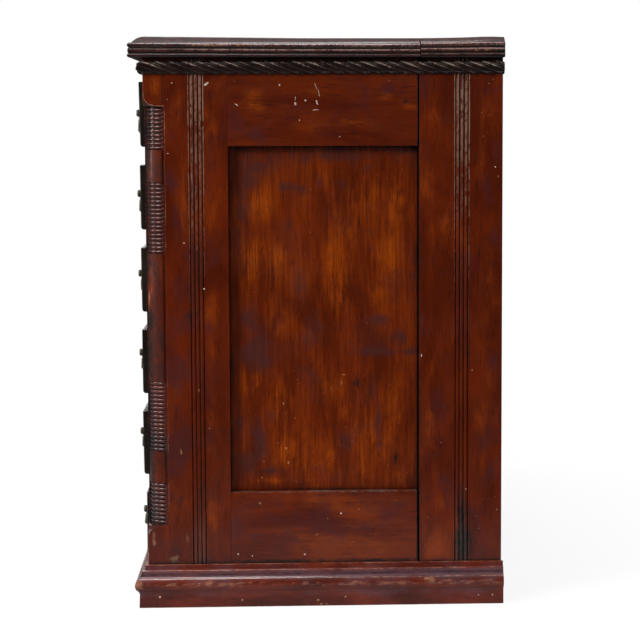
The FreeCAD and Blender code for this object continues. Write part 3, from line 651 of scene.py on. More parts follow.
def board(form, low, high, soft=0.8, step=20.0, lines=(), carve=None, halo=4.0):
    """A board with eased arrises, made as the lattice of a box pulled in at its edges."""
    low, high = np.array(low, float), np.array(high, float)
    grids = [stations(low[axis], high[axis], soft, step, lines) for axis in range(3)]
    for axis in range(3):
        one, two = (axis + 1) % 3, (axis + 2) % 3
        u, v = np.meshgrid(grids[one], grids[two], indexing="ij")
        near = np.minimum(np.minimum(u - low[one], high[one] - u),
                          np.minimum(v - low[two], high[two] - v))
        for end in (low[axis], high[axis]):
            points = np.empty(u.shape + (3,))
            points[..., axis], points[..., one], points[..., two] = end, u, v
            inner = np.clip(points, low + soft, high - soft)
            way = points - inner
            way /= np.linalg.norm(way, axis=-1, keepdims=True)
            bend = (1 - np.abs(way).max(-1)) / (1 - 0.5 ** 0.5)
            rub = np.maximum(np.clip(bend, 0, 1), 0.35 * np.clip(1 - near / halo, 0, 1))
            shaped = inner + soft * way
            grime = np.zeros(u.shape)
            if carve:
                shaped, rub, grime = carve(shaped, rub, grime, axis, end)
            form.lattice(shaped, rub=rub, grime=grime)


top_rail_foot, bottom_rail_head, bottom_rail_foot = 454.0, 113.0, 12.0
open_joint_top, open_joint_foot = 0.9, 1.6


def opened(form):
    """Draw the back ends of the rails or the panel away from the stile, more at the foot."""
    points = form.merge()
    share = np.clip((points[:, 1] - 60) / 30, 0, 1)
    gap = np.interp(points[:, 2], [bottom_rail_foot, carcass_top],
                    [open_joint_foot, open_joint_top])
    points[:, 1] -= share * gap


rail_form = Form()
for foot, head in ((top_rail_foot, carcass_top), (bottom_rail_foot, bottom_rail_head)):
    board(rail_form, (frame_inner, panel_edge + 0.12, foot), (side_face, stile_front, head),
          soft=0.3, step=4.0, halo=1.0)
y, z = rail_form.merge()[:, 1:].T
wear_and_light = rail_form.values
ends = [panel_edge + 1, panel_edge + 3, stile_front - 3, stile_front]
# a painted highlight along the bottom rail's top arris; painted shade under the top and along the
# base moulding, and dark rail ends at the open joint
wear_and_light["rub"] = [np.maximum(wear_and_light["rub"][0] * np.interp(y, ends, [0, 0.5, 0.5, 0]),
                          0.75 * (np.abs(z - bottom_rail_head) < 0.9))]
wear_and_light["grime"] = [np.maximum(np.interp(z, [40, 43, 46, 534, 537], [0, 1, 0, 0, 1]),
                            np.interp(y, [stile_front - 1.6, stile_front - 1.0], [0, 1]))]
rail_wood = wood("rail_mahogany", "deep", streak_share=0.4, glow=0.3, bare=(104, 92, 84),
                 rub_share=0.6, dark=(68, 17, 2), body=(94, 31, 4), light=(122, 52, 3))
pair(rail_form, "side_rails", "mahogany", rail_wood, opened, warm=[
    (-61, 498, 13, 12, 1.1), (28, 479, 10, 8, 0.8), (67, 501, 9, 6, 0.9), (90, 492, 9, 4, 1),
    (-1, 506, 12, 8, 0.5), (47, 474, 20, 9, 0.4), (-33, 487, 14, 14, 0.4), (-11, 472, 18, 6, 0.3),
    (7, 99, 24, 9, 0.6), (41, 96, 20, 5, 0.4), (76, 103, 14, 5, 0.4), (-28, 61, 18, 7, 0.3),
    (66, 58, 24, 9, 0.3), (0, 72, 100, 30, 0.2)], bloom=[
    (-80, 480, 12, 18, 1.1), (-65, 466, 20, 7, 0.8), (70, 509, 8, 5, 1), (46, 503, 4, 18, 0.6),
    (8, 465, 14, 6, 0.8), (81, 506, 14, 8, 0.5), (33, 510, 8, 6, 0.4), (-50, 510, 14, 6, 0.4),
    (-60, 102, 18, 10, 0.8), (-48, 89, 14, 10, 0.9), (-82, 75, 8, 20, 0.9), (-62, 70, 14, 7, 0.9),
    (45, 78, 16, 8, 1), (66, 90, 14, 10, 0.6), (81, 98, 10, 7, 0.7), (21, 57, 16, 6, 0.6),
    # the broad spot at y 0, z 80 greys the bottom rail as a painted reflection of the pale floor
    (-8, 52, 18, 5, 0.4), (0, 80, 100, 40, 0.45)], grime=[
    (-94, 506, 3.2, 3.2, 0.8), (84, 499, 4, 1.6, 1), (88, 497, 4, 1.6, 1)])

panel_low, panel_high = box("side_panel_right")
panel_form = Form()
board(panel_form, (panel_low[0], panel_edge + 0.2, bottom_rail_head + 0.1),
      (panel_high[0], stile_front, top_rail_foot - 0.1), soft=0.3, step=3.0, halo=0.1)
y, z = panel_form.merge()[:, 1:].T
# along the panel's edges: the frame's painted shadow in the recess, deepest under the top rail,
# and soiling in the corners
panel_form.values["grime"] = [np.maximum.reduce([
    0.5 * hump(y, panel_edge, 3.5), 0.8 * hump(z, top_rail_foot, 6.5),
    0.4 * hump(y, stile_front, 3.0), 0.6 * hump(z, bottom_rail_head, 2.0)])]
panel_wood = wood("panel_mahogany", "up", streaks=210.0, streak_share=0.4, fibre=560.0,
                  glow=0.47, haze_share=0.8, dark=(70, 19, 1), body=(104, 35, 1),
                  light=(136, 56, 0), haze=(60, 27, 25), waviness=0.0003, threads=0.6)
pair(panel_form, "side_panel", "panel_mahogany", panel_wood, opened, warm=[
    (-55, 396, 11.5, 15.1, 0.8), (-62, 342, 16.4, 21.9, 1.15), (-42, 344, 12.3, 16.4, 0.92),
    (-75, 323, 5.5, 11, 0.8), (22, 347, 16.4, 35.6, 0.8), (22, 301, 13.7, 13.7, 0.69),
    (79, 398, 8.8, 32.9, 1.05), (68, 347, 11, 24.6, 0.69), (-67, 222, 13.7, 15.1, 0.98),
    (-36, 206, 11.5, 27.4, 0.86), (-31, 154, 13.7, 16.4, 0.92), (-46, 123, 19.2, 3.8, 1.15),
    (14, 216, 16.4, 16.4, 0.69), (22, 186, 11, 16.4, 0.63), (75, 199, 14.2, 35.6, 0.75),
    (13, 145, 11, 16.4, 0.69), (43, 134, 11, 16.4, 0.69), (73, 128, 13.7, 11, 0.69),
    (-15, 398, 5.5, 16.4, 0.46), (36, 395, 11, 19.2, 0.46), (57, 309, 13.7, 11, 0.52),
    (-40, 277, 8.2, 16.4, 0.46), (-14, 123, 16.4, 3.8, 0.69), (-20, 150, 60, 34, 0.55),
    (50, 165, 42, 40, 0.6), (55, 390, 34, 40, 0.3)], bloom=[
    (-73, 393, 7.7, 30.1, 0.8), (-67, 420, 11, 11, 0.6), (-28, 414, 13.7, 4.4, 1),
    (-15, 412, 8.2, 6, 0.9), (2, 424, 3.8, 9.3, 1), (25, 418, 8.8, 7.1, 0.6),
    (-68, 282, 11.5, 19.2, 1.1), (-63, 255, 12.3, 13.7, 1.1), (-54, 241, 8.2, 8.2, 0.8),
    (-58, 162, 6.6, 16.4, 1.3), (-71, 144, 12, 11, 1.2), (-42, 133, 11, 3.8, 1),
    (-47, 187, 4.9, 12.3, 0.7), (65, 283, 13.7, 4.9, 1), (82, 264, 8.8, 9.3, 1),
    (60, 251, 26, 4.1, 1.1), (93, 251, 11, 3.8, 1), (60, 172, 3, 27.4, 1.1),
    (55, 216, 3.3, 12.3, 0.7), (30, 164, 9.3, 11.5, 0.6), (0, 134, 9.3, 7.1, 0.6),
    (-26, 382, 7.7, 24.6, 0.5), (-17, 315, 8.2, 21.9, 0.4), (-2, 271, 14.2, 16.4, 0.55),
    # the wide spots at z 432 to 444 grey the panel under its top rail as painted shade
    (52, 371, 3.8, 32.9, 0.45), (4, 444, 93.1, 9, 1), (-50, 436, 30, 12, 0.8),
    (50, 432, 24, 9, 0.7), (-78, 350, 5, 40, 0.6), (-13, 227, 11, 8.2, 0.4),
    (95, 330, 4.4, 54.8, 0.4), (-79, 187, 4.4, 24.6, 0.5)], grime=[
    (38, 220, 3.6, 4.4, 1), (77, 145, 2, 6.6, 1.1), (73, 370, 2, 6.6, 1), (76, 330, 1.6, 3.8, 0.7),
    # (0, 113.5, ...) paints a line of shade along the panel's foot
    (29, 326, 1.6, 2.2, 0.6), (-58, 154, 2.4, 4.4, 0.6), (0, 113.5, 100, 1.6, 0.9),
    (-60, 152, 5, 15, 0.4), (-66, 138, 8, 7, 0.35), (-52, 132, 13, 3.5, 0.45)])


# Front rails
# Dark stained mahogany rails between the posts, above, between and below the drawers, with
# the head rail under the top. They are housed in the posts, flush with them.

dark_mahogany = wood("dark_mahogany_across", "across", dark=(24, 10, 7), body=(52, 22, 15),
                     light=(84, 36, 16), haze=(78, 54, 50), bare=(164, 122, 88),
                     haze_share=0.25, rub_share=0.5)
front_low, front_high = box("drawer_6_front")
drawer_pitch = box("drawer_5_front")[0][2] - front_low[2]
front_gap, front_height = 0.6, front_high[2] - front_low[2]
rail_height = drawer_pitch - front_height - 2 * front_gap

rails_form = Form()
for bay in range(7):
    foot = front_low[2] - front_gap - rail_height + bay * drawer_pitch
    head = carcass_top if bay == 6 else foot + rail_height
    board(rails_form, (-nose_inner + 0.05, front_face, foot), (nose_inner - 0.05, nose_back, head),
          soft=0.7, step=14.0)
rails_form.piece("front_rails", "dark_mahogany", dark_mahogany)


# Runners, bottom board, glue blocks and screws
# Rough sawn pine inside the carcass, never finished: runners with guides for the drawers, a
# bottom board, rubbed blocks and cleats, and iron screws up into the top.

def woods(name, lengths, **looks):
    """The same wood for boards that run in different directions."""
    return {length: wood(name + "_" + length, length, **looks) for length in lengths}


pine = woods("pine", turns, streaks=40.0, streak_share=0.9, fibre=260.0, threads=0.6, coat=0.0,
             glow=0.3, dark=(108, 78, 48), body=(150, 112, 72), light=(176, 138, 92),
             haze=(110, 92, 74), bare=(190, 158, 116), soot=(48, 34, 24), haze_share=0.4,
             gloss=0.75, crackle=0.00008)


def ease(made, width, angle):
    """Slightly round the arrises of a piece of cut wood."""
    bevel = made.modifiers.new("eased", "BEVEL")
    bevel.width, bevel.segments = width * MM, 2
    bevel.limit_method, bevel.angle_limit = "ANGLE", math.radians(angle)


def dress(node, material, width=0.0):
    """Give a CAD node its material and, for sawn wood, slightly eased arrises."""
    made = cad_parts[node]
    for slot in made.material_slots:
        slot.link = "OBJECT"
        slot.material = material
    if width:
        made.modifiers.new("weld", "WELD").merge_threshold = 0.01 * MM
        ease(made, width, 50)


dress("drawer_runners", pine["deep"], 0.6)
dress("bottom_board", pine["across"], 0.5)
dress("glue_blocks", pine["deep"], 0.6)

iron, surface, place = new_material("iron_screws")
rust = place.noise(900.0, 4.0, 0.7).spread(0.4, 0.62)
feed(surface, {"Base Color": rust.mixed((92, 88, 84), (84, 46, 26)),
               "Roughness": rust * 0.35 + 0.4, "Metallic": rust * -0.8 + 0.95})
bump(surface, rust, 0.0001)
dress("top_screws", iron)


# Back boards
# Four upright pine boards, 8 mm thick, nailed into the stiles' rebates and to the bottom
# board with cut nails. They have shrunk apart a little and are grey with dust.

backs_low, backs_high = box("back_boards")
board_count, shrunk = 4, 0.8
back_width = (backs_high[0] - backs_low[0]) / board_count
backs_form = Form()
for number in range(board_count):
    low_x = backs_low[0] + number * back_width
    board(backs_form, (low_x + shrunk / 2, backs_low[1], backs_low[2]),
          (low_x + back_width - shrunk / 2, backs_high[1], backs_high[2]), soft=0.7, step=16.0)
backs_form.piece("back_boards", "pine_inside", pine["up"])


def turned(form, profile, centre, axis, sides=16):
    """A turned shape: (along, radius) points swept round an axis through the centre."""
    axis = np.array(axis, float)
    first = np.cross(axis, (0.31, 0.57, 0.76))
    first /= np.linalg.norm(first)
    second = np.cross(axis, first)
    angles = np.arange(sides) * math.tau / sides
    ring = np.cos(angles)[:, None] * first + np.sin(angles)[:, None] * second
    profile = np.asarray(profile, float)
    points = (np.array(centre, float) + profile[:, :1, None] * axis
              + profile[:, 1:, None] * ring)
    rub, grime = worn(profile[:, ::-1], closed=False, reach=0.7)
    form.lattice(points, around=True, capped=True, rub=rub[:, None], grime=grime[:, None])


nail_profile = [(-6, 0.7), (0, 0.7), (0, 2.1), (0.35, 2.0), (0.55, 1.3), (0.6, 0.05)]
nail_heights = (14, 23, 180, 340, 500, 530)
nail_places = [number + share for number in range(board_count) for share in (0.12, 0.88)]
nails_form = Form()
for place in nail_places:
    at_side = place in (nail_places[0], nail_places[-1])
    for nail_z in nail_heights if at_side else (nail_heights[1], nail_heights[-1]):
        nail = (backs_low[0] + place * back_width, backs_high[1], nail_z)
        turned(nails_form, nail_profile, nail, (0, 1, 0), sides=8)
nails_form.piece("back_nails", "iron", iron, nodes=())


# Top
# Two dark boards, 268 and 82 mm wide, butted with an open joint. The front one is moulded
# with a bevel and three beads round three sides, and the narrow one has cupped upward.

front_board_high, back_board_high = box("top_front_board")[1], box("top_back_board")[1]
top_z = front_board_high[2]
board_joint, joint_gap = front_board_high[1], 0.7
top_profile = outline([(-4.0, top_z), ((3.515, 557.32), (9.6, 552.6)),
                       ((13.1, 550.9), (11.6, 548.3)), ((12.8, 545.3), (11.8, 542.9)),
                       ((13.26, 540.9), (12.2, carcass_top))],
                      spacing=2.5, fine=0.4, closed=False)
edge_reach, edge_z = top_profile.T
# painted highlight lines along the crests of the bevel and the beads, lightened as wear too
bead_highlights_and_wear = sum(strength * hump(edge_z, level, half) for level, half, strength in (
    (551.8, 0.6, 1.4), (550.2, 0.8, 0.7), (546.6, 0.6, 1.5), (545.2, 0.7, 0.5), (541.6, 0.7, 0.8)))
edge_finish = {
    # painted shade, darkest at the underside edge and in the groove over the lowest bead
    "grime": np.maximum(worn(top_profile, closed=False)[0],
                        np.interp(edge_z, [539.5, 541, 543.5, 545], [1, 0.4, 0.6, 0.2])),
    "bloom": np.interp(edge_z, [552.4, 553.4, 558, 559], [0, 1, 0.9, 0.4]),
    "shine": np.interp(edge_z, [541, 551, 552.4, 553, 557], [0.4, 0.8, 0.8, 0.35, 0])}
# how far the boards have lifted from flat, front to back
lifts_y = [-172.6, -150, -79, -15, 93, 108, 137, 156, 167, 181.4]
lifts_z = [0.98, 0.7, -0.04, -0.8, -0.8, -0.74, -0.2, 0.4, 1.0, 0.35]


def top_board(form, front_y, back_y, moulded_front):
    """A board whose ends, and front where moulded, follow the edge profile."""
    inset = -edge_reach[0]
    rows_x = stations(-side_face + inset, side_face - inset, 0.5, 9.0)
    near_y = front_y + inset if moulded_front else front_y
    rows_y = stations(near_y, back_y, 0.5, 9.0)
    out_x = rows_x[:, None] * (side_face + edge_reach) / (side_face - inset)
    if moulded_front:
        reach_y = back_y - front_y + edge_reach
        out_y = back_y - (back_y - rows_y)[:, None] * reach_y / (back_y - near_y)
    else:
        out_y = np.repeat(rows_y[:, None], len(edge_reach), 1)

    def risen(y, z):
        lift = np.mean([np.interp(y + shift, lifts_y, lifts_z) for shift in (-8, -4, 0, 4, 8)], 0)
        raised = 0 if moulded_front else np.interp(z, [539.5, 541, 553, 557, 559],
                                                   [0, 1.0, 1.1, 0.5, 0])
        return z + raised + (z - carcass_top) / (top_z - carcass_top) * lift

    # the sides' painted highlight lines grow stronger towards the back
    side_highlights_and_wear = bead_highlights_and_wear * np.interp(out_y, [-183, -135, -105, 0, 181], [0.5, 0.6, 1.1, 1.1, 1.3])
    for side in (1, -1):
        x, y, z = np.broadcast_arrays(side * (side_face + edge_reach), out_y, edge_z)
        form.lattice(np.stack([x, y, risen(y, z)], -1), rub=side_highlights_and_wear, **edge_finish)
    if moulded_front:
        x, y, z = np.broadcast_arrays(out_x, front_y - edge_reach, edge_z)
        form.lattice(np.stack([x, y, risen(np.full(x.shape, front_y), z)], -1), rub=bead_highlights_and_wear,
                     **edge_finish)
    for level, z in ((0, top_z), (-1, carcass_top)):
        x, y = np.meshgrid(out_x[:, level], out_y[:, level], indexing="ij")
        form.lattice(np.stack([x, y, risen(y, np.full(x.shape, z))], -1))
    for y in rows_y[[-1]] if moulded_front else rows_y[[0, -1]]:
        ring = [(x, top_z) for x in out_x[:, 0]]
        ring += [(side_face + r, z) for r, z in top_profile[1:]]
        ring += [(x, carcass_top) for x in out_x[::-1, -1][1:]]
        ring += [(-side_face - r, z) for r, z in top_profile[::-1][1:-1]]
        start = form.count
        form.lattice([[(x, y, risen(y, z)) for x, z in ring]])
        form.faces.append(list(range(start, form.count)))


top_wood = wood("top_mahogany", "across", streaks=80.0, streak_share=0.8, fibre=600.0,
                threads=0.4, dark=(30, 13, 11), body=(58, 27, 22), light=(88, 46, 30),
                haze=(80, 66, 66), bare=(150, 122, 114), haze_share=0.35, rub_share=0.5,
                coat=0.0, coat_rough=0.14, gloss=0.46)
for name, front_y, back_y, moulded in (
        ("top_front_board", front_face, board_joint - joint_gap / 2, True),
        ("top_back_board", board_joint + joint_gap / 2, back_board_high[1], False)):
    top_form = Form()
    top_board(top_form, front_y, back_y, moulded)
    top_form.piece(name, "dark_mahogany", top_wood)


# Rope mouldings
# Half round strips carved as twisted rope, a thick strand and two thin ones to each turn,
# stained nearly black. They are glued under the top and mitred at the front corners.

rope_foot, rope_height, rope_overhang, rope_inset = 522.9, 13.6, 1.1, 0.15
strand_pitch, strand_run, strand_depth, strand_rows = 13.2, 32.0, 2.2, 26
rope_angles = np.linspace(-math.pi / 2, math.pi / 2, 19)
strand_widths = ((0.0, 0.5, 1.0), (0.5, 0.75, 0.72), (0.75, 1.0, 0.66))


def strand(turn):
    """Height of the carved strands, 0 in the grooves to 1, at one share of a turn."""
    turn = turn % 1.0
    height = np.zeros_like(turn)
    for start, end, top in strand_widths:
        share = np.clip((turn - start) / (end - start), 0, 1)
        height = np.maximum(height, top * np.sin(math.pi * share) ** 0.62)
    return height


def rope_strip(origin, ahead, outward, length):
    """A strip carved on rows that follow the strands, longer than it needs to be."""
    form = Form()
    step = strand_pitch / strand_rows
    rows = np.arange(-strand_run, length + strand_run, step)[:, None]
    height = strand((rows + 0.35 * np.sin(rows / 37.0)) / strand_pitch)
    radius = rope_height / 2 - strand_depth * (1 - height) * np.ones(len(rope_angles))
    along = rows - strand_run / 2 * np.sin(rope_angles)
    reach = 0.92 * radius * np.cos(rope_angles) - rope_inset
    points = (np.array(origin, float) + along[..., None] * np.array(ahead)
              + reach[..., None] * np.array(outward))
    points[..., 2] = rope_foot + rope_height / 2 + radius * np.sin(rope_angles)
    # rows that face up get painted glints on the strands' crests; the lower half gets painted
    # shade, and the grooves are darkened
    facing_up = np.interp(np.sin(rope_angles), [-0.7, 0.0, 0.5, 0.85], [0.1, 0.45, 1.2, 2.2])
    wear_and_light = np.random.default_rng(3).uniform(0.5, 1.5, 200)[(rows // strand_pitch).astype(int) + 20]
    form.lattice(points, around=True, rub=height ** 1.5 * facing_up * wear_and_light,
                 grime=np.maximum(1.2 * (1 - height), 0.5 - 0.5 * np.clip(facing_up, 0, 1)),
                 shine=height ** 2 * facing_up * wear_and_light)
    return form


def cut_off(made, place, away):
    """Saw a piece off at a plane, given in millimetres, and close the cut."""
    sawn = bmesh.new()
    sawn.from_mesh(made.data)
    every = sawn.verts[:] + sawn.edges[:] + sawn.faces[:]
    cut = bmesh.ops.bisect_plane(sawn, geom=every, plane_co=Vector(place) * MM,
                                 plane_no=Vector(away), clear_outer=True)
    edges = [item for item in cut["geom_cut"] if isinstance(item, bmesh.types.BMEdge)]
    bmesh.ops.edgeloop_fill(sawn, edges=edges)
    bmesh.ops.recalc_face_normals(sawn, faces=sawn.faces)
    sawn.to_mesh(made.data)
    sawn.free()


rope_wood = wood("rope_mahogany", "across", streaks=200.0, dark=(24, 14, 11),
                 body=(50, 31, 26), light=(76, 48, 36), bare=(172, 152, 142),
                 haze=(64, 52, 48), haze_share=0.25, rub_share=0.5, coat=0.3, coat_rough=0.2)
right_corner, left_corner = (side_face, front_face, 0), (-side_face, front_face, 0)
rope_back = ((0, back_face + rope_overhang, 0), (0, 1, 0))
wide, deep = 2 * side_face, back_face - front_face
for side, origin, ahead, outward, length, cuts in (
        ("front", left_corner, (1, 0, 0), (0, -1, 0), wide,
         [(right_corner, (1, 1, 0)), (left_corner, (-1, 1, 0))]),
        ("right", right_corner, (0, 1, 0), (1, 0, 0), deep,
         [(right_corner, (-1, -1, 0)), rope_back]),
        ("left", left_corner, (0, 1, 0), (-1, 0, 0), deep,
         [(left_corner, (1, -1, 0)), rope_back])):
    rope = rope_strip(origin, ahead, outward, length).piece(
        "rope_moulding_" + side, "dark_mahogany", rope_wood, nodes=["rope_mouldings"], crease=60)
    for place, away in cuts:
        cut_off(rope, place, away)


# Base mouldings
# Three mitred mahogany strips round the foot: a plinth with a cove, a half round and a
# slope above it. Feet and brooms have rubbed the half round and the lower edge to bare wood.

base_back, base_height = box("base_mouldings")[1][1:]
base_profile = outline([
    (0, 0), (8.5, 0, 0.8), (8.2, 12.0), ((8.8, 15.8), (10.6, 18.0)),
    ((12.5, 23.4), (10.6, 28.2)), (10.2, 29.0), ((7.6, 31.2), (6.4, 34.6)), (6.3, 35.6),
    ((6.2, 36.6), (5.2, 36.9)), (3.2, 37.6), (2.6, base_height), (0, base_height)],
    spacing=4.0, fine=0.6)
base_reach, base_z = base_profile.T
base_wear_and_highlights, base_grime = worn(base_profile)
# the half round and the top arris are rubbed; the lines at 29 and 36.5 mm are painted highlights,
# and the cove at 32.5 mm is darkened
base_wear_and_highlights = np.maximum.reduce([
    base_wear_and_highlights, 1.0 * hump(base_z, 29, 0.6), 1.1 * hump(base_z, base_height, 0.5),
    1.1 * hump(base_z, 36.5, 0.6), 0.62 * hump(base_z, 23.5, 3, 4)])
base_finish = {
    "rub": base_wear_and_highlights,
    "grime": np.maximum(np.where(base_z > 34, 0, base_grime), 0.55 * hump(base_z, 32.5, 1.8)),
    "bloom": np.interp(base_z, [8, 12, 16, 18, 29.5, 30.5, 34, 36],
                       [0, 0.35, 0.35, 0, 0.3, 1.2, 1.2, 0.3]),
    "shine": 1.3 * hump(base_z, 29, 0.9) + hump(base_z, 36.4, 0.9)}


def base_strip(start, end, outward):
    """A strip between two corners, each with the way it moves as the profile reaches out."""
    start, end = np.array(start, float), np.array(end, float)
    length = np.linalg.norm(end[0] - start[0])
    along = stations(0, length, 0.6, 4.0)[:, None, None] / length
    reach = base_reach[:, None]
    low, high = start[0] + start[1] * reach, end[0] + end[1] * reach
    points = low + (high - low) * along + np.array(outward) * reach
    points[..., 2] = base_z
    form = Form()
    form.lattice(points, around=True, capped=True, **base_finish)
    return form


base_wood = woods("base_mahogany", ("deep", "across"), dark=(58, 17, 10), body=(94, 32, 18),
                  light=(124, 54, 26), bare=(146, 97, 74), haze=(84, 60, 70), haze_share=0.6,
                  rub_share=0.5)
for side, start, end, outward, length in (
        ("front", (left_corner, (-1, 0, 0)), (right_corner, (1, 0, 0)), (0, -1, 0), "across"),
        ("right", (right_corner, (0, -1, 0)), ((side_face, base_back, 0), (0, 0, 0)),
         (1, 0, 0), "deep"),
        ("left", (left_corner, (0, -1, 0)), ((-side_face, base_back, 0), (0, 0, 0)),
         (-1, 0, 0), "deep")):
    base_form = base_strip(start, end, outward)
    if side == "right":
        base_form.mark("rub", [
            (-145, 24, 10, 2.6, 1), (-109, 25, 9, 3, 1.1), (-65, 25, 22, 2, 1),
            (35, 25, 8, 2, 0.8), (78, 24, 12, 2.4, 0.9), (108, 27, 10, 4, 1.2),
            (128, 25, 8, 2, 0.8), (-179, 24, 6, 5, 1.6), (-20, 25, 30, 1.5, 0.7),
            (155, 25, 16, 2, 0.7)])
    base_form.piece("base_moulding_" + side, "mahogany", base_wood[length],
                    nodes=["base_mouldings"])


# Drawers
# Six drawers, each 64 mm high. The front is mahogany, ebonised, with a scratched bead round
# its face and a rounded lower lip. Poplar sides are dovetailed into it and into the back.

ebonised = wood("ebonised_front", "across", streaks=70.0, streak_share=0.5, fibre=600.0,
                threads=0.5, dark=(18, 16, 14), body=(32, 27, 23), light=(58, 42, 30),
                haze=(70, 66, 62), bare=(112, 78, 54), haze_share=0.25, rub_share=0.55,
                gloss=0.34, crackle=0.00004)
poplar = woods("drawer_poplar", ("deep", "across"), streaks=36.0, streak_share=0.9, fibre=300.0,
               threads=0.4, coat=0.0, glow=0.4, dark=(124, 97, 62), body=(168, 138, 92),
               light=(196, 166, 116), haze=(138, 122, 98), bare=(206, 180, 138),
               soot=(60, 46, 32), haze_share=0.35, gloss=0.66, crackle=0.00005)
front_thickness, side_thickness, lap, lip_radius = 22.0, 11.0, 14.0, 3.0
side_height, drawer_depth, tail_count = 56.0, 334.0, 3
bottom_lift, back_lift, back_thickness, back_head = 6.0, 11.0, 9.0, 50.0
fit, side_corner, sunk = 0.12, 1.5, 0.02
drawer_names = ["drawer_%d" % number for number in range(1, 7)]
leans = (1.3, 0.5, 0.5, 0.3, 0.6, -0.3)
bead_lines = (6.2, 6.9, 7.5, 8.5, 9.5, 10.1, 10.8)
bead_depths = (0, 1.0, 0.3, 0.0, 0.3, 1.0, 0)


def prism(form, polygon, *ends):
    """A flat board cut to a polygon of (y, z) points, between two places across."""
    form.lattice([[(x, y, z) for y, z in polygon] for x in sorted(ends)], around=True, capped=True)


def tails(root_y, tip_y, foot, head, count, slack=0.0):
    """Corner points of dovetails from the foot up: narrow at the root, wide at the tip."""
    pitch = (head - foot) / count
    root_half, tip_half = 0.3 * pitch - slack, 0.41 * pitch - slack
    points = []
    for tail in range(count):
        middle = foot + (tail + 0.5) * pitch
        points += [(root_y, middle - root_half), (tip_y, middle - tip_half),
                   (tip_y, middle + tip_half), (root_y, middle + root_half)]
    return points


for name, lean in zip(drawer_names, leans):
    low, high = box(name + "_front")
    face, foot, half, head = low[1], low[2], high[0], high[2]
    inside, inner, tail_end = face + front_thickness, half - side_thickness, face + drawer_depth

    def carve_front(shaped, rub, grime, axis, end):
        """Round the lower lip, scratch the bead and let the face lean back."""
        x, y, z = (shaped[..., i] for i in range(3))
        if axis == 1 and end == face:
            near = np.minimum(half - np.abs(x), np.minimum(z - foot, head - z))
            depth = np.interp(near, bead_lines, bead_depths)
            y += depth
            grime = np.maximum(grime, depth)
            rub = np.maximum(rub, 0.6 * hump(near, bead_lines[3], 0.6))
        lip = np.clip(foot + lip_radius - z, 0, lip_radius)
        lowered = lip_radius - np.sqrt(lip_radius ** 2 - lip ** 2)
        y += lowered * np.clip(1 - (y - face) / lip_radius, 0, 1)
        y += lean * (0.5 * (head + foot) - z) / front_height * np.clip(1 - (y - face) / 12, 0, 1)
        return shaped, rub, grime

    front_form = Form()
    board(front_form, (-half, face, foot), (half, inside - lap, head), soft=1.0, step=9.0,
          lines=bead_lines, carve=carve_front)
    root = inside - lap - 0.4
    board(front_form, (-inner, root, foot + sunk), (inner, inside, head - sunk), soft=0.4)
    pins = [(root, foot + sunk), (inside, foot + sunk),
            *tails(inside, inside - lap, foot, foot + side_height, tail_count),
            (inside, foot + side_height), (inside, head - sunk), (root, head - sunk)]
    for side in (-1, 1):
        prism(front_form, pins, side * (inner - 0.2), side * (half - sunk))
    front_form.piece(name + "_front", "ebonised_front", ebonised, name)

    outside = [
        (inside + fit, foot),
        *tails(inside + fit, inside - lap + fit, foot, foot + side_height, tail_count, fit),
        (inside + fit, foot + side_height), (tail_end - side_corner, foot + side_height),
        (tail_end, foot + side_height - side_corner), (tail_end, foot + back_head),
        *reversed(tails(tail_end - back_thickness, tail_end, foot + back_lift,
                        foot + back_head, 2, fit)),
        (tail_end, foot + back_lift), (tail_end, foot)]
    sides_form = Form()
    for side in (-1, 1):
        prism(sides_form, outside, side * inner, side * half)
    ease(sides_form.piece(name + "_sides", "drawer_poplar", poplar["deep"], name), 0.35, 35)

    for part, soft, low, high in (
            ("_back", 0.6, (tail_end - back_thickness, foot + back_lift), foot + back_head),
            ("_bottom", 0.4, (inside, foot + bottom_lift), foot + back_lift)):
        part_form = Form()
        board(part_form, (-inner, *low), (inner, tail_end, high), soft=soft)
        part_form.piece(name + part, "drawer_poplar", poplar["across"], name)


# Pulls
# Cast bronze, gone dark and greenish: a lobed back plate in low relief with a beaded rim, a
# rosette under each of two turned posts, and a nut on each post's shank inside the drawer.

bronze, surface, place = new_material("aged_bronze")
mottle = place.noise(320.0, 5.0, 0.65).spread(0.34, 0.66)
polish = painted(place.tree, "rub").spread(0.35, 0.95) * 0.7
metal = polish.mixed(mottle.mixed((38, 38, 31), (68, 66, 51)), (128, 112, 78))
metal = (painted(place.tree, "grime") * 0.8).mixed(metal, (18, 18, 15))
feed(surface, {"Base Color": metal, "Roughness": polish * -0.3 + 0.56,
               "Metallic": polish * 0.6 + 0.3})
bump(surface, place.noise(1500.0, 3.0, 0.6), 0.00012)

plate_end, post_spread = 46.0, 70.0
plate_edge = outline([(-plate_end, 0), ((-43, 7.5), (-35, 10)), ((-24, 10.6), (-16, 11)),
                      ((0, 15), (16, 11)), ((24, 10.6), (35, 10)),
                      ((43, 7.5), (plate_end, 0))], fine=0.7, closed=False)
plate_x = -plate_end * np.cos(np.linspace(0, math.pi, 121))
plate_v = np.sin(np.linspace(-math.pi / 2, math.pi / 2, 33))
plate_half = np.interp(plate_x, plate_edge[:, 0], plate_edge[:, 1])


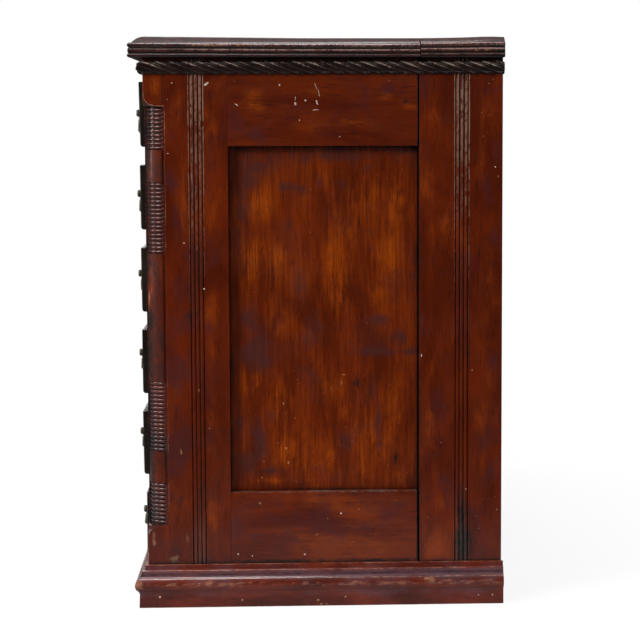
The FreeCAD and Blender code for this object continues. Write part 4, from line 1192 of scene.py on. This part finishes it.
def plate_relief(x, z, half):
    """Height of the casting above the drawer front, and how much of it is crest."""
    aside = np.abs(x)
    inward = np.minimum((half - np.abs(z)) * 0.92, (plate_end - aside) * 0.9)
    rim = hump(inward, 1.3, 0.75) * (0.55 + 0.2 * np.cos(math.tau * x / 2.3))
    field = 0.95 + 0.07 * np.sin(2.9 * x) * np.sin(2.7 * z)
    fan = np.clip(1 - ((np.hypot(x, z + 9.0) - 10.5) / 8.5) ** 2, 0, 1) * (inward > 1.9)
    fan = fan * (0.25 + 0.6 * np.abs(np.cos(5.5 * np.arctan2(x, z + 9.0))))
    curl_away, curl_angle = np.hypot(aside - 20.5, z), np.arctan2(z, aside - 20.5)
    curl = np.clip(1 - (curl_away / 6.6) ** 4, 0, 1)
    curl = curl * (0.3 + 0.45 * np.cos(1.9 * curl_away - curl_angle))
    from_post = aside - post_spread / 2
    rose = np.clip(1 - (np.hypot(from_post, z) / 7.4) ** 2, 0, 1)
    rose = rose * (0.7 + 0.5 * np.abs(np.cos(4 * np.arctan2(z, from_post))))
    raised = np.maximum.reduce([rim, fan, np.clip(curl, 0, None), rose])
    return (field + raised) * (0.45 + 0.55 * np.clip(inward / 0.5, 0, 1)), raised


def lobed_plate(form, centre, face):
    """The plate's raised front on its flat back, round a centre given across and up."""
    x, v = np.meshgrid(plate_x, plate_v, indexing="ij")
    half = np.repeat(plate_half[:, None], len(plate_v), 1)
    z = v * half
    height, raised = plate_relief(x, z, half)
    x, z, flat = centre[0] + x, centre[1] + z, np.zeros(x.shape)
    front, back = np.stack([x, face - height, z], -1), np.stack([x, face + flat, z], -1)
    form.lattice(np.concatenate([front, back[:, ::-1]], 1), around=True,
                 rub=np.concatenate([np.clip(raised * 1.2, 0, 1), flat], 1),
                 grime=np.concatenate([np.clip(0.75 - raised * 2.5, 0, 1), flat], 1))


post_profile = outline([(0.8, 5.6), (1.8, 5.6, 0.3), (2.5, 5.0), (2.9, 3.9),
                        ((4.4, 3.1), (5.9, 3.6)), ((7.4, 3.5), (8.2, 1.6)), (8.3, 0.15)],
                       spacing=1.0, fine=0.4, closed=False)
shank_profile = [(-30.0, 0.1), (-29.6, 1.7), (-29.0, 2.0), (0.9, 2.0), (0.9, 0.1)]
nut_profile = ((22.0, 4.2), (24.4, 4.2), (25.0, 4.2 * 0.86), (25.0, 1.9))
pull_low, pull_high = box("drawer_1_bail_left")
pull_offset, pull_height = -(pull_low[0] + pull_high[0]) / 2, 33.5


def hex_nut(form, x, face, z):
    """A square edged nut with its corners turned off, on the drawer front's back."""
    corners = np.arange(6) * math.tau / 6
    form.lattice([[(x + reach * np.cos(corner), face + y, z + reach * np.sin(corner))
                   for corner in corners] for y, reach in nut_profile],
                 around=True, capped=True, rub=0.4)


for name in drawer_names:
    face, foot = box(name + "_front")[0][1:]
    pull_z = foot + pull_height
    pulls_form = Form()
    for side in (-1, 1):
        lobed_plate(pulls_form, (side * pull_offset, pull_z), face)
        for post in (-0.5, 0.5):
            centre = (side * pull_offset + post * post_spread, face, pull_z)
            turned(pulls_form, post_profile, centre, (0, -1, 0), sides=20)
            turned(pulls_form, shank_profile, centre, (0, -1, 0), sides=10)
            hex_nut(pulls_form, *centre)
    pulls_form.piece(name + "_pull_plates", "aged_bronze", bronze, name, crease=50)


# Bails
# The cast handles that hang between the posts: round arms with a leaf swelling, and a
# fluted grip, thickest in the middle, with a collar at each end. They swing on the posts.

arm_x, bail_drop, bend_radius, wire = 28.6, 17.0, 6.0, 1.6
pivot_reach, grip_half, grip_set_back = 4.4, 21.0, 0.6
half_path = [(post_spread / 2 - 1, 0), (arm_x + 2.4, 0),
             ((arm_x + 0.7, -0.7), (arm_x, -2.4)), (arm_x, bend_radius - bail_drop),
             ((arm_x - 1.757, -bail_drop + 1.757), (arm_x - bend_radius, -bail_drop)),
             (0, -bail_drop)]
bail_half = outline(half_path, spacing=0.7, fine=0.55, closed=False)
bail_path = np.vstack([bail_half, bail_half[::-1][1:] * (-1, 1)])
bail_ring = np.arange(20) * math.tau / 20
bail_rests = (2.6, 2.6, 0.0, 2.6, 2.6, 6.0)


def bail(form, centre, pivot_y, rest):
    """Sweep a changing section along the bail's path, hanging a little out at rest."""
    ahead = np.gradient(bail_path, axis=0)
    ahead /= np.linalg.norm(ahead, axis=1, keepdims=True)
    along_x, along_z = ahead.T[..., None]
    x, drop = bail_path[:, :1], -bail_path[:, 1:]
    on_bar, aside = drop > bail_drop - 0.5, np.abs(x)
    on_grip = np.clip(1 - aside / grip_half, 0, 1) * on_bar
    swell = np.sin(on_grip * math.pi / 2) ** 0.8
    leaf = hump(drop, 8.5, 3.2) * (aside > arm_x - 1)
    collar, ring = hump(aside - grip_half, 0.4, 0.8) * on_bar, hump(x, 0, 1.3) * on_bar
    tall = wire + 3.2 * swell + 0.9 * leaf + 0.9 * collar + 0.2 * ring
    deep = wire + 0.75 * swell + 0.35 * leaf + 0.6 * collar + 0.15 * ring
    flutes = 0.09 * np.cos(6 * bail_ring + 0.42 * x)
    veins = 0.1 * np.cos(4 * bail_ring + 1.5 * drop)
    relief = 1 + flutes * (on_grip > 0.04) * (aside > 2.4) + veins * leaf
    set_back = grip_set_back * np.clip((drop - 6) / 8, 0, 1)
    out = np.sin(bail_ring) * deep * relief - set_back
    down = along_x * np.cos(bail_ring) * tall * relief - drop
    across = centre[0] + x - along_z * np.cos(bail_ring) * tall * relief
    form.lattice(np.stack([across, pivot_y + out * math.cos(rest) + down * math.sin(rest),
                           centre[1] + down * math.cos(rest) - out * math.sin(rest)], -1),
                 around=True, capped=True, rub=np.clip((relief - 0.96) * 9, 0, 1),
                 grime=np.clip((0.97 - relief) * 12, 0, 1))


for name, rest in zip(drawer_names, bail_rests):
    face, foot = box(name + "_front")[0][1:]
    for side, way in (("left", -1), ("right", 1)):
        bail_form = Form()
        bail(bail_form, (way * pull_offset, foot + pull_height), face - pivot_reach,
             math.radians(rest))
        bail_form.piece(name + "_bail_" + side, "aged_bronze", bronze,
                        "bail_%s_%s" % (name[-1], side), crease=50)


# Flecks
# Spatters of old paint, chips of pale ochre wood and scratches that show bare wood, on the
# right side: each is a small closed crumb, let into the surface and standing a hair proud.

paint, surface, place = new_material("old_flecks")
warm = painted(place.tree, "warm")
colour = warm.spread(0.0, 0.5).mixed((182, 160, 144), (150, 92, 62))
colour = warm.spread(0.5, 1.0).mixed(colour, (122, 88, 54))
stained = place.noise(1300.0, 3.0).spread(0.45, 0.75, 0.0, 0.6)
feed(surface, {"Base Color": stained.mixed(colour, (92, 52, 34)), "Roughness": 0.6,
               "Specular IOR Level": 0.2})

chance = np.random.default_rng(7)
crumb_turn = np.arange(12) * math.tau / 12
base_outer = (base_reach > 1) & (base_z > 0.5)
surfaces = {
    "frame": lambda z: np.full(z.shape, side_face),
    "panel": lambda z: np.full(z.shape, panel_high[0]),
    "base": lambda z: side_face + np.interp(z, base_z[base_outer], base_reach[base_outer]),
    "top": lambda z: side_face + np.interp(z, edge_z[::-1], edge_reach[::-1])}
flecks = Form()


def crumb(surface, warm, y, z, wide, high, tilt=0):
    """One irregular crumb: rings that climb from under the surface to a low crown."""
    ragged = 1 + 0.3 * chance.uniform(-1, 1, len(crumb_turn))
    tilt = math.radians(tilt)
    rows = []
    for share, lift in ((0.9, -0.3), (1.0, 0.0), (0.85, 0.1), (0.5, 0.16), (0.05, 0.18)):
        u = wide * share * ragged * np.cos(crumb_turn)
        v = high * share * ragged * np.sin(crumb_turn)
        row_z = z - u * math.sin(tilt) + v * math.cos(tilt)
        rows.append(np.stack([surfaces[surface](row_z) + lift,
                              y + u * math.cos(tilt) + v * math.sin(tilt), row_z], -1))
    flecks.lattice(rows, around=True, capped=True, warm=warm)


pale_spots = [
    (-107, 514, 5, 2.2, -28), (-140, 515, 1.4, 1.2), (-78, 494, 4.5, 0.9, 30),
    (-36, 513, 1.8, 1.8), (-21, 495, 2, 3), (-21, 500, 0.6, 4), (-11, 498, 1.7, 1.7),
    (-17, 479, 1.3, 1.3), (-1, 512, 0.5, 8, -18), (2, 505, 0.5, 8, -12), (0, 496, 1.6, 4.5, -15),
    (-1, 489, 6, 0.6, -4), (22, 463, 1, 1), (-130, 360, 2, 1.2), (-111, 315, 2, 1.6),
    (-145, 447, 2, 0.8), (102, 248, 1.2, 3, 10), (152, 233, 0.9, 0.9), (146, 114, 0.9, 1),
    (174, 433, 1.4, 1.3), (22, 91, 2, 2), (-14, 50, 2, 1.8), (-80, 51, 1.6, 1.6),
    (-66, 49, 1.2, 1.4)]
ochre_spots = [
    (-117, 215, 0.8, 3), (-107, 177, 1.5, 1.3), (-135, 154, 1.4, 5, -8), (177, 424, 1.4, 1.4),
    (-58, 102, 2.4, 2.2), (-2, 70, 1.8, 1.8), (9, 86, 1.3, 1.3), (121, 161, 1.3, 1.1),
    (177, 93, 1.3, 1.3)]
panel_spots = [
    (-34.3, 200, 1.6, 2.1), (-23, 185.4, 1, 1.4), (-31.9, 155.2, 1.8, 2.5),
    (-29.8, 140.6, 1.4, 3.1), (-54, 142, 1, 1), (-56, 126.3, 1.2, 1.2), (25.5, 228.2, 3.7, 0.8),
    (23, 220.3, 0.8, 4.1), (11.8, 214.9, 0.8, 0.8), (-33.5, 156.3, 0.9, 0.9),
    (68.4, 421.8, 0.8, 0.8), (58.9, 425.3, 0.8, 0.6), (83.2, 430.6, 0.8, 0.6),
    (26.3, 312.4, 0.6, 0.8), (52.8, 296.5, 0.7, 0.7), (68.8, 136.8, 0.8, 0.8)]
base_spots = [
    (-148, 24, 4, 0.8, -12), (-118, 25, 4, 1.2, 10), (-107, 25, 4, 1.4), (105, 26, 4, 1, 30),
    (110, 28, 4, 0.8, -30), (112, 24, 4, 0.8, 25), (-1, 6, 3, 2.6)]
top_spots = [
    (-118, 551, 3, 0.8), (-112, 551, 4, 1), (-105, 551, 6, 1), (-99, 550.5, 4, 0.9),
    (-92, 550.5, 3, 0.9), (-75, 550.5, 3, 1), (-70, 551, 2.5, 1), (-63, 550.5, 2, 0.9),
    (154, 546, 5, 0.8), (164, 546, 4, 0.8)]
scuffs = [
    (-157, 11, 2.2, 2.6), (-76, 7, 2, 1.5), (26, 9, 2, 1.8), (158, 9, 1.6, 1.6),
    (172, 9, 1.5, 2.6), (2, 2, 2.6, 1.2), (7, 2, 2, 1)]
for surface, warm, size, spots in (
        ("frame", 0.0, 0.5, pale_spots), ("frame", 1.0, 0.5, ochre_spots),
        ("panel", 0.5, 0.5, panel_spots), ("base", 1.0, 0.5, base_spots),
        ("top", 1.0, 0.5, top_spots), ("base", 0.2, 0.4, scuffs)):
    for y, z, wide, high, *tilt in spots:
        crumb(surface, warm, y, z, size * wide, size * high, *tilt)
# small specks strewn over the panel, then over the post, the rails and the stile
for _ in range(70):
    size = chance.uniform(0.18, 0.36)
    y, z = chance.uniform(-84, 96), 116 + 320 * chance.uniform() ** 1.6
    crumb("panel", 0.5, y, z, size, size * chance.uniform(0.8, 1.6))
for _ in range(50):
    size = chance.uniform(0.18, 0.36)
    y = chance.choice([chance.uniform(*run) for run in ((-145, -126), (-108, 126), (152, 178))])
    z = chance.uniform(460, 520) if chance.uniform() < 0.5 else chance.uniform(46, 110)
    crumb("frame", chance.choice([0.0, 0.5, 1.0]), y, z, size, size)
flecks.piece("paint_flecks", "mahogany", paint, nodes=())


# Floor, light and camera
# A pale round of paper that fades to white at its rim and keeps a shadow straight under the
# cabinet, five soft lamps round it, and a camera that stands square to its right side.

floor_mesh = bpy.data.meshes.new("floor")
floor_reach = 0.65
floor_ring = [(floor_reach * math.cos(a), floor_reach * math.sin(a), 0.0)
              for a in np.arange(96) * math.tau / 96]
floor_mesh.from_pydata(floor_ring, [], [list(range(96))])
stand("floor", floor_mesh)


def rays(tree):
    """Whether a ray comes from the camera, off a mirroring surface or through a clear one."""
    path = add(tree, "LightPath")
    return [Wire(path, "Is %s Ray" % kind) for kind in ("Camera", "Glossy", "Transmission")]


paper, surface, place = new_material("paper")
tree = place.tree
tree.nodes.remove(surface)
seen, mirrored, clear = rays(tree)
seen = seen.maths("MAXIMUM", mirrored.maths("MAXIMUM", clear))
away = Wire(add(tree, "VectorMath", {0: place}, operation="LENGTH"), "Value")
spot = add(tree, "SeparateXYZ", {0: place})
beyond = [Wire(spot, axis).maths("ABSOLUTE").maths("GREATER_THAN", shadow_half)
          for axis, shadow_half in (("X", 0.296), ("Y", 0.168))]
fade = away.spread(0.33, 0.62, 0.9, 1.0) * beyond[0].maths("MAXIMUM", beyond[1])
matte, white = add(tree, "BsdfDiffuse", {"Color": (236, 236, 235)}), add(tree, "Emission")
paper_mix = add(tree, "MixShader", {0: seen * fade, 1: Wire(matte), 2: Wire(white)})
feed(tree.nodes["Material Output"], {"Surface": Wire(paper_mix)})
floor_mesh.materials.append(paper)

world = bpy.data.worlds.new("studio")
bpy.context.scene.world = world
world.use_nodes = True
tree = world.node_tree
seen, mirrored, clear = rays(tree)
# mirrored rays see a white ceiling and the dim room that lies round the paper
way = add(tree, "SeparateXYZ", {0: Wire(add(tree, "TexCoord"), "Generated")})
overhead, room_light = Wire(way, "Z").spread(0.4, 0.95, 0.03, 0.8), 0.34
ambient = (overhead - room_light) * mirrored + room_light
feed(tree.nodes["Background"],
     {"Color": seen.maths("MAXIMUM", clear).mixed(ambient, (255, 255, 255))})


def lamp(name, place, target, width, height, watts):
    light = bpy.data.lights.new(name, "AREA")
    light.shape, light.size, light.size_y = "RECTANGLE", width, height
    light.energy = watts
    made = stand(name, light)
    made.location = place
    way = Vector(target) - Vector(place)
    made.rotation_euler = way.to_track_quat("-Z", "Y").to_euler()


lamp("key_light", (1.48, -1.8, 1.5), (0.1, 0, 0.3), 0.7, 0.7, 60)
lamp("window_light", (0.17, -2.3, 1.0), (0.1, 0, 0.3), 0.4, 1.3, 36)
lamp("ceiling_light", (0.45, -0.1, 2.1), (0.3, 0, 0.4), 0.2, 1.2, 24)
lamp("fill_light", (1.8, 1.9, 0.9), (0.2, 0, 0.3), 0.8, 0.8, 12)
lamp("left_light", (-2.2, -0.5, 1.4), (-0.2, 0, 0.3), 0.8, 0.8, 22)

# The photograph: a long lens, a little cropped, 1.76 m from the cabinet's side
camera_place = (2.0577, -0.0205, 0.4779)
camera_turn, camera_dip, camera_roll = -2.4706, 4.9494, -0.1142
photo_width, focal_pixels = 640, 1803.5
axis_pixel = (374.3, 277.35)
camera = bpy.data.cameras.new("camera")
camera.sensor_width = 36.0
camera.lens = camera.sensor_width * focal_pixels / photo_width
camera.shift_x = (photo_width / 2 - axis_pixel[0]) / photo_width
camera.shift_y = (axis_pixel[1] - photo_width / 2) / photo_width
camera.clip_start, camera.clip_end = 0.05, 50.0
camera_object = stand("camera", camera)
camera_object.matrix_world = (
    Matrix.Translation(camera_place)
    @ Matrix.Rotation(math.radians(90 + camera_turn), 4, "Z")
    @ Matrix.Rotation(math.radians(90 - camera_dip), 4, "X")
    @ Matrix.Rotation(math.radians(camera_roll), 4, "Z"))
bpy.context.scene.camera = camera_object
bpy.context.scene.view_settings.view_transform = "Standard"
